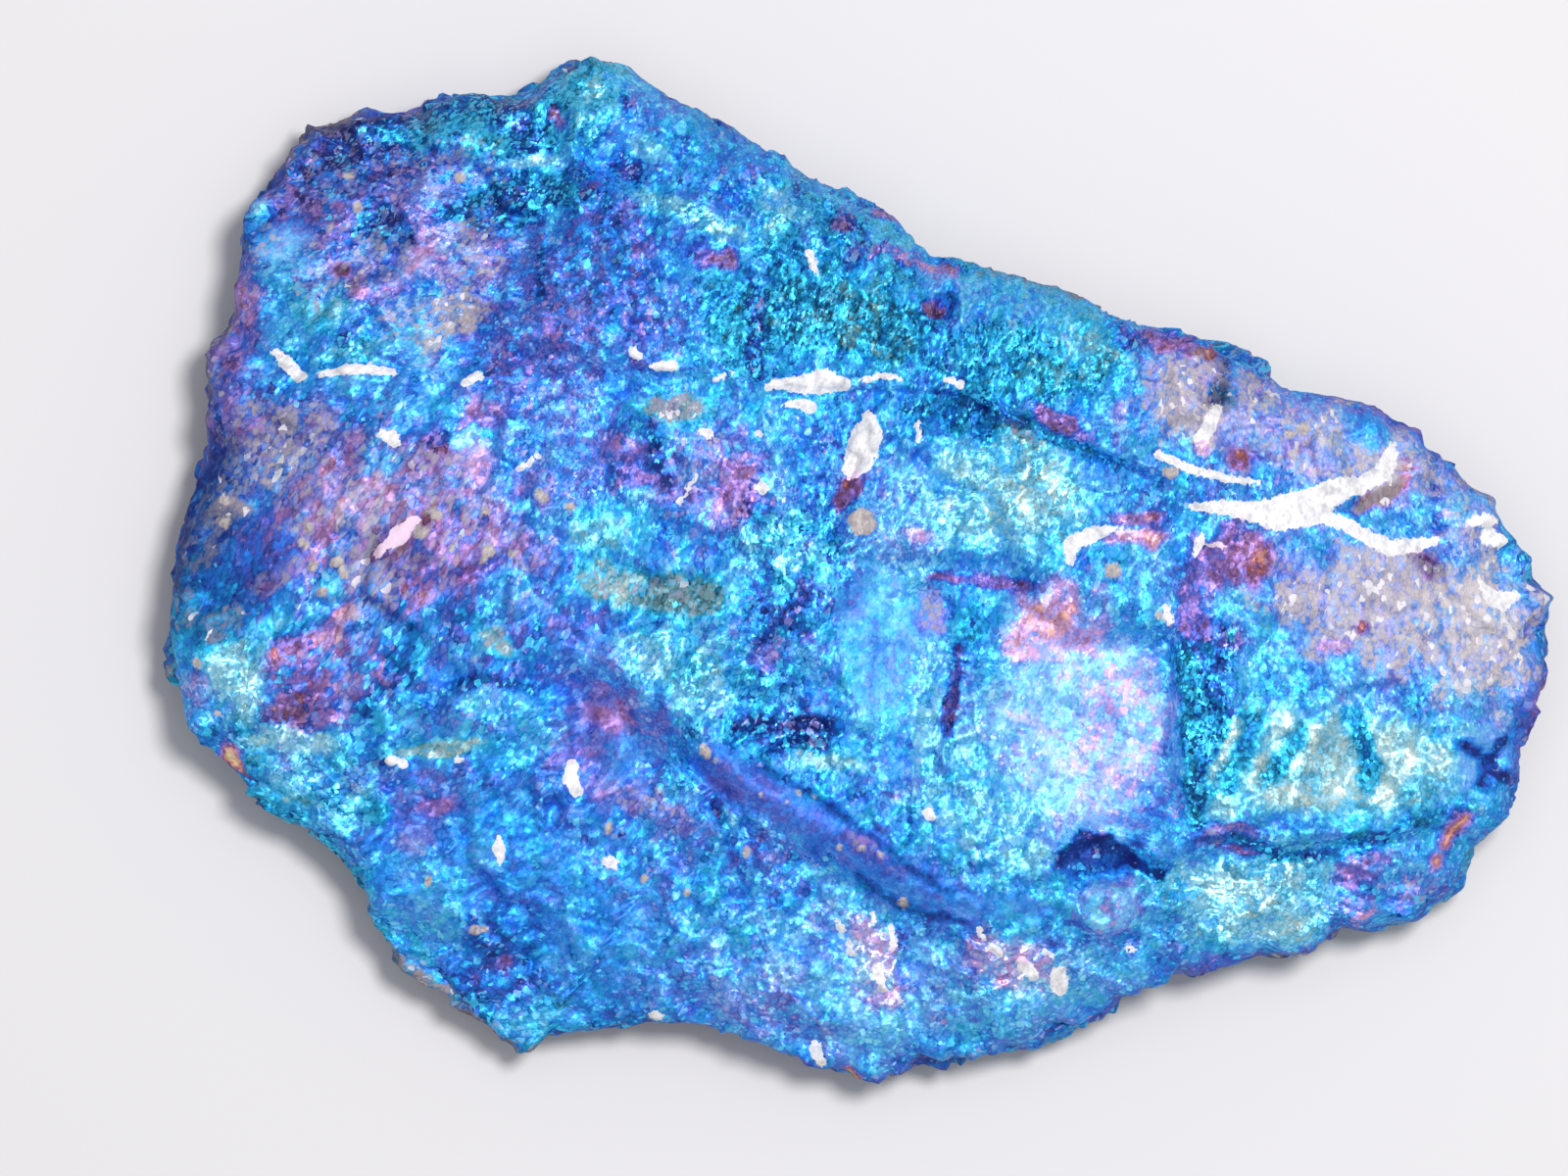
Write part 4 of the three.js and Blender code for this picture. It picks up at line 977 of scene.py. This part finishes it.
def finish_channels(points, travel, tone, hue):
    """The tarnish's channels at each point. Each patch and each band is mixed in by a mask that
    falls over its rim, where noise makes the rim ragged; some of them paint shade and some
    highlights.
    Noise then shifts the channels, the chips' tone and hue shift shade and film, cracks are
    darkened with painted shade, and the wall gets its own finish, darker there as painted shade."""
    x, y = points[:, 0], points[:, 1]
    along = grain_place(points) / np.array([1, FINISH_STRETCH, 1])
    slow = soft_noise(points, *SLOW)
    medium = soft_noise(along, *MEDIUM)
    quick = soft_noise(along, *QUICK)
    broad_warp = [soft_noise(along, *noise) for noise in BROAD_WARPS]
    fine_warp = [soft_noise(along, *noise) for noise in FINE_WARPS]
    patchy = 0.25 * quick + 0.2 * medium
    channels = {name: np.full(len(points), value) for name, value in CHANNELS.items()}
    on_top = 1 - smoothstep(*TOP_ENDS, travel)
    for middle, radii, turn, sets in PATCHES:
        size = min(radii)
        broad, fine = [min(most, share * size) for most, share in (BROAD_RAG, FINE_RAG)]
        warped_x = x + broad * broad_warp[0] + fine * fine_warp[0]
        warped_y = y + broad * broad_warp[1] + fine * fine_warp[1]
        measure = ellipse_measure(warped_x, warped_y, middle, radii, turn)
        measure += patchy * min(1, size / 3)
        lay(channels, sets, smoothstep(*PATCH_RIM, measure) * on_top)
    for path, half_width, sets in BANDS:
        bend = min(BAND_RAG[0], BAND_RAG[1] * half_width)
        distance, _, _ = along_path(x + bend * fine_warp[0], y + bend * fine_warp[1], path)
        lay(channels, sets, smoothstep(*BAND_RIM, distance / half_width + 0.2 * quick) * on_top)

    lively = CHIP_SHARE + CHIP_SPARKLE * channels["sparkle"]
    channels["film"] += FILM_NOISE * slow + FILM_NOISE * medium + FILM_NOISE * quick + hue * lively
    channels["shade"] += MEDIUM_SHADE * medium + QUICK_SHADE * quick + tone * lively
    channels["dull"] += sum(DULL_NOISE * soft_noise(along, *noise) for noise in DULL_NOISES)
    # Painted shade in the cracks, darker for deeper cracks.
    for _, path, rise, width in LINES:
        if rise < 0:
            channels["shade"] += CRACK_SHADE * rise * ridge(x, y, path, width) * on_top

    low = smoothstep(*WALL_STARTS, travel)
    earthy = smoothstep(0.1, 0.5, soft_noise(points, *EARTHY) + 0.4 * quick)
    noises = dict(wide=soft_noise(points, *WIDE), medium=medium, earthy=earthy)
    for name, base, share, noise in WALL_FINISH:
        channels[name] += low * (base + share * noises[noise])
    return channels


# ---------------------------------------------------------------- shader expressions


class Value:
    """A socket that takes part in sums: an expression on Values adds its Math nodes."""

    def __init__(self, shader, socket):
        self.shader = shader
        self.socket = socket

    def math(self, operation, *others):
        """A Math node on this value and others."""
        inputs = dict(enumerate((self, *others)))
        return self.shader.node("ShaderNodeMath", dict(operation=operation), inputs)["Value"]

    def reflected(self, operation, other):
        """A Math node on another value and this one."""
        inputs = {0: other, 1: self}
        return self.shader.node("ShaderNodeMath", dict(operation=operation), inputs)["Value"]

    def __add__(self, other):
        return self.math("ADD", other)

    def __radd__(self, other):
        return self.reflected("ADD", other)

    def __sub__(self, other):
        return self.math("SUBTRACT", other)

    def __rsub__(self, other):
        return self.reflected("SUBTRACT", other)

    def __mul__(self, other):
        return self.math("MULTIPLY", other)

    def __rmul__(self, other):
        return self.reflected("MULTIPLY", other)

    def limited(self):
        """The same value, kept from 0 to 1."""
        self.socket.node.use_clamp = True
        return self

    def step(self, low, high):
        """0 below low and 1 above high, with a smooth rise between."""
        settings = dict(interpolation_type="SMOOTHSTEP")
        inputs = {"Value": self, "From Min": low, "From Max": high}
        return self.shader.node("ShaderNodeMapRange", settings, inputs)["Result"]


class Shader:
    """A material's node tree, with one method that adds any node."""

    def __init__(self, name):
        self.material = bpy.data.materials.new(name)
        self.material.use_nodes = True
        self.tree = self.material.node_tree
        self.tree.nodes.clear()

    def node(self, kind, settings=None, inputs=None):
        """Adds a node: its settings first, then its sockets' values or links. Gives its outputs."""
        made = self.tree.nodes.new(kind)
        for name, value in (settings or {}).items():
            if name == "stops":
                self.set_stops(made.color_ramp, value)
            else:
                setattr(made, name, value)
        for name, value in (inputs or {}).items():
            if isinstance(value, Value):
                self.tree.links.new(value.socket, made.inputs[name])
            else:
                made.inputs[name].default_value = value
        return {o.name: Value(self, o) for o in made.outputs if o.enabled}

    @staticmethod
    def set_stops(ramp, stops):
        """Puts the ramp's stops: each a place from 0 to 1 and a colour."""
        while len(ramp.elements) < len(stops):
            ramp.elements.new(0.5)
        for element, (place, colour) in zip(ramp.elements, stops):
            element.position = place
            element.color = (*colour, 1)

    def attribute(self, name, output="Fac"):
        """A number, or with the output Vector a vector, that each point of the mesh carries."""
        return self.node("ShaderNodeAttribute", dict(attribute_name=name))[output]

    def vector(self, operation, *inputs):
        """Vector maths on vectors."""
        inputs = dict(enumerate(inputs))
        return self.node("ShaderNodeVectorMath", dict(operation=operation), inputs)["Vector"]

    def scaled(self, vector, scale):
        """A vector times a number."""
        inputs = {0: vector, "Scale": scale}
        return self.node("ShaderNodeVectorMath", dict(operation="SCALE"), inputs)["Vector"]

    def ramp(self, stops, place):
        """The ramp's colour at a place."""
        return self.node("ShaderNodeValToRGB", dict(stops=stops), {"Fac": place})["Color"]

    def mix_colour(self, factor, a, b):
        """b over a by factor."""
        a, b = [value if isinstance(value, Value) else (*value, 1) for value in (a, b)]
        inputs = {0: factor, 6: a, 7: b}
        return self.node("ShaderNodeMix", dict(data_type="RGBA"), inputs)["Result"]

    def finished(self, inputs):
        """Ends the tree with a Principled surface. Gives the material."""
        surface = self.node("ShaderNodeBsdfPrincipled", {}, inputs)["BSDF"]
        self.node("ShaderNodeOutputMaterial", {}, {"Surface": surface})
        return self.material


# The tints of the tarnish as it thickens, as scene colours.
TARNISH_STOPS = (
    (BRASS, (0.46, 0.35, 0.16)),
    (COPPER, (0.50, 0.20, 0.13)),
    (RUST, (0.25, 0.08, 0.10)),
    (MAROON, (0.15, 0.07, 0.20)),
    (MAGENTA, (0.26, 0.14, 0.43)),
    (VIOLET, (0.115, 0.115, 0.46)),
    (INDIGO, (0.045, 0.095, 0.47)),
    (ROYAL, (0.022, 0.15, 0.60)),
    (AZURE, (0.018, 0.25, 0.68)),
    (CYAN, (0.018, 0.37, 0.66)),
    (TEAL, (0.02, 0.28, 0.46)),
    (GREEN, (0.17, 0.34, 0.37)),
)

# The same tints where the face is pale.
PALE_STOPS = (
    (BRASS, (0.68, 0.57, 0.38)),
    (COPPER, (0.74, 0.42, 0.36)),
    (MAROON, (0.60, 0.34, 0.56)),
    (MAGENTA, (0.64, 0.40, 0.74)),
    (VIOLET, (0.43, 0.41, 0.78)),
    (ROYAL, (0.26, 0.44, 0.80)),
    (AZURE, (0.24, 0.52, 0.82)),
    (CYAN, (0.27, 0.64, 0.80)),
    (TEAL, (0.37, 0.64, 0.71)),
    (GREEN, (0.60, 0.68, 0.63)),
)

# Other scene colours. The blaze is a face at its palest, a painted highlight. The gleams are
# painted highlights on flakes that catch the light, on warm tints and then on bluish ones. A
# matrix runs from grey to tan, and the veins' and crumbs' tints from dark to pale. A dark face,
# from dark tarnish and from painted shade, is its tint squared times the share plus the floor.
DEEP_SHARE, DEEP_FLOOR = 0.35, (0.009, 0.01, 0.018)  # a dark face: tint squared * share + floor
PAINTED_BLAZE = (0.66, 0.62, 0.70)
PAINTED_GLEAMS = (0.50, 0.34, 0.75), (0.06, 0.56, 0.86)
PALE_PAINTED_GLEAMS = (0.72, 0.60, 0.78), (0.50, 0.74, 0.84)
MATRIX = (0.17, 0.17, 0.29), (0.24, 0.20, 0.19)
PALE_MATRIX = (0.42, 0.42, 0.52), (0.52, 0.45, 0.42)
DARK_MATRIX = (0.07, 0.08, 0.15)
GRIT = (0.60, 0.58, 0.62)
CRUMB_TINTS = (0.24, 0.21, 0.23), (0.42, 0.38, 0.37)
VEIN_TINTS = (0.42, 0.41, 0.45), (0.66, 0.65, 0.66)
VEIN_PINK = (0.66, 0.50, 0.64)  # the white marks' tint where the tarnish is magenta

# Flakes: width and length in mm, seed, and how much noise bends their rims.
COARSE_FLAKES = (1.75, 2.0, 17, 0.6)
MIDDLE_FLAKES = (0.74, 0.84, 11, 0.35)
FINE_FLAKES = (0.35, 0.4, 23, 0)

# Noises: width and length in mm, seed and detail.
STREAK = (0.85, 1.4, 5, 3)
MOTTLE = (2.5, 3.0, 9, 3)
VEIN_EDGE = (0.9, 1.1, 31, 3)
VEIN_SPECK = (0.45, 0.6, 37, 2)


def tarnish_material():
    """Grains are Voronoi cells stretched along the stone's grain. Each leans its own way, has its
    own place in the order of tints and its own tone. Painted glints light some flakes, and painted
    shade darkens others and the gaps between them. Dull matrix and white vein lie over them."""
    shader = Shader("tarnished_ore")
    grain = shader.attribute("grain", "Vector")
    film, shade, dull, earth, sparkle, mingle, white, crumb = [
        shader.attribute(name)
        for name in ("film", "shade", "dull", "earth", "sparkle", "mingle", "white", "crumb")
    ]

    def grain_units(width, length, offset):
        """Grain coordinates in widths and lengths, moved by an offset."""
        place = shader.vector("MULTIPLY", grain, (1 / width, 1 / length, 1 / width))
        return shader.vector("ADD", place, offset)

    def centred(colour):
        """A random colour as a vector about 0."""
        return shader.vector("SUBTRACT", colour, (0.5, 0.5, 0.5))

    def flake_place(width, length, seed, warp):
        """Where a point lies among the flakes."""
        place = grain_units(width, length, (seed, seed * 1.7, seed * 0.3))
        if not warp:
            return place
        inputs = {"Vector": place, "Scale": 1.3, "Detail": 2.0}
        bend = shader.node("ShaderNodeTexNoise", {}, inputs)["Color"]
        return shader.vector("ADD", place, shader.scaled(centred(bend), 2 * warp))

    def flakes(place):
        """A random colour for each flake, and its three numbers."""
        inputs = {"Vector": place, "Scale": 1.0}
        colour = shader.node("ShaderNodeTexVoronoi", dict(feature="F1"), inputs)["Color"]
        split = shader.node("ShaderNodeSeparateColor", {}, {"Color": colour})
        return colour, split["Red"], split["Green"], split["Blue"]

    def noise(width, length, seed, detail):
        """Noise as a colour, and as a number about 0."""
        place = grain_units(width, length, (seed, seed * 1.3, seed * 0.7))
        inputs = {"Vector": place, "Scale": 1.0, "Detail": detail}
        out = shader.node("ShaderNodeTexNoise", {}, inputs)
        return out["Color"], out["Fac"] - 0.5

    coarse, coarse_a, coarse_b, coarse_c = flakes(flake_place(*COARSE_FLAKES))
    middle_place = flake_place(*MIDDLE_FLAKES)
    middle, middle_a, middle_b, middle_c = flakes(middle_place)
    fine, _, fine_b, fine_c = flakes(flake_place(*FINE_FLAKES))
    edge_settings = dict(feature="DISTANCE_TO_EDGE")
    edge_inputs = {"Vector": middle_place, "Scale": 1.0}
    gap = shader.node("ShaderNodeTexVoronoi", edge_settings, edge_inputs)["Distance"]
    streak_lean, streak = noise(*STREAK)
    mottle_lean, mottle = noise(*MOTTLE)

    # Painted light on the flakes: painted glints where flakes would catch the light, and painted
    # shade on flakes that stay dark and in the dark gaps between flakes.
    glitter = sparkle * (0.5 + 2.0 * mottle + 0.7 * coarse_b)
    painted_glint = (middle_b + 0.3 * glitter).step(1.02, 1.08)
    painted_spark = (fine_b + 0.3 * glitter).step(1.0, 1.08)
    flake = (1.0 - middle_c + 0.3 * glitter).step(1.0, 1.1)
    crack = gap.step(0.2, 0.02) * (0.12 + 0.36 * sparkle)

    # The bare metal: its tint by the film, darker or paler by the tone, which carries painted shade
    # and painted highlights as well as the tarnish's own tone.
    lively = 0.4 + 1.2 * sparkle
    tint = film + ((coarse_a - 0.5) * 0.8 + (middle_a - 0.5) * 0.9) * mingle + streak * 0.08
    tone = (shade + (coarse_c - 0.5) * 0.2 * lively + (middle_c - 0.5) * 0.28 + (fine_c - 0.5) * 0.2
            + streak * 0.15 + mottle * 0.2 - crack)
    pale = tone.step(-0.45, 1.15)
    dark = (-0.1 - tone + 0.4 * flake).step(0.05, 1.2)
    metal = shader.ramp(TARNISH_STOPS, tint)
    deep = shader.scaled(shader.vector("MULTIPLY", metal, metal), DEEP_SHARE)
    metal = shader.mix_colour(dark * 0.9, metal, shader.vector("ADD", deep, DEEP_FLOOR))
    metal = shader.mix_colour(pale, metal, shader.ramp(PALE_STOPS, tint))
    # The palest tone turns to the blaze colour, a painted highlight.
    metal = shader.mix_colour(tone.step(1.1, 2.0), metal, PAINTED_BLAZE)
    # Flakes that catch the light get the gleam colour: a painted highlight.
    bluish = tint.step(0.46, 0.62)
    painted_gleam = shader.mix_colour(bluish, *PAINTED_GLEAMS)
    painted_gleam = shader.mix_colour(pale, painted_gleam, shader.mix_colour(bluish, *PALE_PAINTED_GLEAMS))
    metal = shader.mix_colour(painted_glint.math("MAXIMUM", painted_spark) * (0.35 + 0.4 * bluish), metal, painted_gleam)

    # The dull matrix, its grit and the crumbs.
    matrix = shader.mix_colour(earth, *MATRIX)
    matrix = shader.mix_colour(tone.step(-0.3, 1.2), matrix, shader.mix_colour(earth, *PALE_MATRIX))
    matrix = shader.mix_colour(dark, matrix, DARK_MATRIX)
    cover = dull + (middle_c - 0.5) * 0.3 + (fine_b - 0.5) * 0.2 + streak * 0.4 + mottle * 0.4
    matrix_mask = cover.step(0.34, 0.7)
    grit = (middle_b + 0.42 * dull).step(1.14, 1.2)
    crumb_mask = (crumb + streak * 1.6).step(0.2, -0.2)

    # The white veins and spots, and the pink glints that are painted as white marks.
    edge = noise(*VEIN_EDGE)[1]
    speck = noise(*VEIN_SPECK)[1]
    white_mask = (white + edge * 1.2 + speck * 0.7).step(0.05, -0.07)
    vein = shader.mix_colour((0.74 + 2.2 * edge + 1.6 * speck).limited(), *VEIN_TINTS)
    vein = shader.mix_colour(film.step(0.48, 0.38), vein, VEIN_PINK)

    colour = shader.mix_colour(matrix_mask, metal, matrix)
    colour = shader.mix_colour(grit * 0.8, colour, GRIT)
    colour = shader.mix_colour(crumb_mask, colour, shader.mix_colour(fine_b, *CRUMB_TINTS))
    colour = shader.mix_colour(white_mask, colour, vein)
    covered = matrix_mask.math("MAXIMUM", crumb_mask).math("MAXIMUM", white_mask)
    bare = 1.0 - covered

    # Each flake leans the surface its own way, and less where it is covered.
    normal = shader.node("ShaderNodeNewGeometry")["Normal"]
    for lean, amount in (
        (middle, (0.08 + 0.24 * sparkle) * (0.3 + 0.7 * bare)),
        (fine, (0.18 + 0.18 * sparkle) * (0.4 + 0.6 * bare)),
        (coarse, 0.08 + 0.24 * sparkle),
        (streak_lean, 0.12),
        (mottle_lean, 0.12),
    ):
        normal = shader.vector("ADD", normal, shader.scaled(centred(lean), amount))

    return shader.finished({
        "Base Color": colour,
        "Metallic": bare * (0.45 + 0.25 * sparkle),
        "Roughness": bare * (0.56 - 0.2 * sparkle + 0.14 * fine_c) + covered * 0.75,
        "Specular IOR Level": 0.05,
        "Normal": shader.vector("NORMALIZE", normal),
    })


# ---------------------------------------------------------------- stage

# Places and sizes in metres, power in watts.
KEY_PLACE, KEY_SIZE, KEY_COLOUR = (0.18, 0.15, 1.02), 0.2, (1, 0.985, 0.96)
OVERHEAD_PLACE, OVERHEAD_SIZE, OVERHEAD_POWER = (0.1, 0.1, 1.6), 1.5, 9.0
OVERHEAD_COLOUR = (0.97, 0.98, 1)
SKY_COLOUR, SKY_STRENGTH = (0.93, 0.96, 1.0), 0.42
FLOOR_REACH, FLOOR_ROUGHNESS = 3.0, 0.9
CLIP = (0.01, 20)
CAMERA_X, CAMERA_Y = -9.04, -2.17  # in mm

# ---------------------------------------------------------------- settings


class PeacockOreSettings(bpy.types.PropertyGroup):
    """Sizes, colours and powers that a user may change"""

    grid_steps: bpy.props.IntProperty(
        name="Grid Steps",
        description="Squares along each side of the grid that wraps the stone",
        default=304,
        min=16,
        max=304,
    )
    camera_distance: bpy.props.FloatProperty(
        name="Camera Distance",
        description="Height of the camera over the resting plane",
        default=1.4,
        unit="LENGTH",
        subtype="DISTANCE",
    )
    view_width: bpy.props.FloatProperty(
        name="View Width",
        description="Width that the camera sees at the height of the stone's waist",
        default=0.1928,
        unit="LENGTH",
        subtype="DISTANCE",
    )
    floor_colour: bpy.props.FloatVectorProperty(
        name="Floor Colour",
        description="Colour of the plain floor under the stone",
        default=(0.53, 0.52, 0.535),
        subtype="COLOR",
    )
    key_power: bpy.props.FloatProperty(
        name="Key Power",
        description="Power of the main light",
        default=11.0,
        unit="POWER",
    )


# ---------------------------------------------------------------- operators


class PEACOCKORE_OT_slab(bpy.types.Operator):
    """Make the slab of peacock ore with its tarnish"""

    bl_idname = "peacockore.slab"
    bl_label = "Make Slab"

    def execute(self, context):
        settings = context.scene.peacock_ore
        points, finish, triangles = closed_slab(settings.grid_steps)
        channels = finish_channels(*finish)
        smooth, travel = finish[:2]
        x, y = smooth[:, 0], smooth[:, 1]
        on_top = smoothstep(*MARKS_END, travel)
        off_top = MARK_REACH * (1 - on_top)
        white = np.where(on_top > 0, white_distance(x, y), FAR) + off_top
        crumb = crumb_distance(x, y) + off_top

        low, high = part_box("ore_slab")
        solid_middle = np.array([(low[0] + high[0]) / 2, (low[1] + high[1]) / 2, 0])
        placed = points * MM
        own_middle = (placed.min(axis=0) + placed.max(axis=0)) / 2
        own_middle[2] = 0
        slab = make_mesh("peacock_ore_slab", placed + solid_middle - own_middle, triangles)
        for name, values in channels.items():
            set_attribute(slab, name, np.clip(values, 0, 1) if name != "shade" else values)
        for name, distance in (("white", white), ("crumb", crumb)):
            set_attribute(slab, name, np.clip(distance, -MARK_REACH, MARK_REACH))
        set_attribute(slab, "grain", grain_place(smooth))
        slab.data.materials.append(tarnish_material())
        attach(slab, "root")
        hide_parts("ore_slab")
        return {"FINISHED"}


def area_light(name, place, size, power, colour):
    """A round area light at a place, turned towards the origin."""
    light = bpy.data.lights.new(name, "AREA")
    light.shape = "DISK"
    light.size = size
    light.energy = power
    light.color = colour
    made = add_object(name, light)
    made.location = place
    made.rotation_mode = "QUATERNION"
    made.rotation_quaternion = (-Vector(place)).to_track_quat("-Z", "Y")


class PEACOCKORE_OT_stage(bpy.types.Operator):
    """Make the plain floor, the lights and the camera"""

    bl_idname = "peacockore.stage"
    bl_label = "Make Stage"

    def execute(self, context):
        settings = context.scene.peacock_ore
        scene = context.scene
        scene.view_settings.view_transform = "Standard"
        floor_mesh = bpy.data.meshes.new("floor")
        sides = ((-1, -1), (1, -1), (1, 1), (-1, 1))
        corners = [(FLOOR_REACH * x, FLOOR_REACH * y, 0) for x, y in sides]
        floor_mesh.from_pydata(corners, [], [(0, 1, 2, 3)])
        floor = add_object("floor", floor_mesh)
        look = {"Base Color": (*settings.floor_colour, 1), "Roughness": FLOOR_ROUGHNESS}
        floor.data.materials.append(Shader("pale_floor").finished(look))

        world = bpy.data.worlds.new("studio")
        world.use_nodes = True
        background = world.node_tree.nodes["Background"]
        background.inputs["Color"].default_value = (*SKY_COLOUR, 1)
        background.inputs["Strength"].default_value = SKY_STRENGTH
        scene.world = world
        area_light("key", KEY_PLACE, KEY_SIZE, settings.key_power, KEY_COLOUR)
        area_light("overhead", OVERHEAD_PLACE, OVERHEAD_SIZE, OVERHEAD_POWER, OVERHEAD_COLOUR)

        camera_data = bpy.data.cameras.new("camera")
        camera = add_object("camera", camera_data)
        camera.location = (CAMERA_X * MM, CAMERA_Y * MM, settings.camera_distance)
        reach_down = settings.camera_distance - WAIST_HEIGHT * MM
        camera_data.lens = camera_data.sensor_width * reach_down / settings.view_width
        camera_data.clip_start, camera_data.clip_end = CLIP
        scene.camera = camera
        return {"FINISHED"}


class PEACOCKORE_PT_panel(bpy.types.Panel):
    """Lists what the add-on makes"""

    bl_idname = "PEACOCKORE_PT_panel"
    bl_label = "Peacock Ore"
    bl_space_type = "VIEW_3D"
    bl_region_type = "UI"
    bl_category = "Peacock Ore"

    def draw(self, context):
        settings = context.scene.peacock_ore
        for name in settings.bl_rna.properties.keys():
            if name not in ("rna_type", "name"):
                self.layout.prop(settings, name)
        self.layout.operator(PEACOCKORE_OT_slab.bl_idname)
        self.layout.operator(PEACOCKORE_OT_stage.bl_idname)


CLASSES = (PeacockOreSettings, PEACOCKORE_OT_slab, PEACOCKORE_OT_stage, PEACOCKORE_PT_panel)


def register():
    for cls in CLASSES:
        bpy.utils.register_class(cls)
    bpy.types.Scene.peacock_ore = bpy.props.PointerProperty(type=PeacockOreSettings)


def unregister():
    del bpy.types.Scene.peacock_ore
    for cls in reversed(CLASSES):
        bpy.utils.unregister_class(cls)


def main():
    register()
    bpy.ops.peacockore.slab()
    bpy.ops.peacockore.stage()


if __name__ == "__main__":
    main()
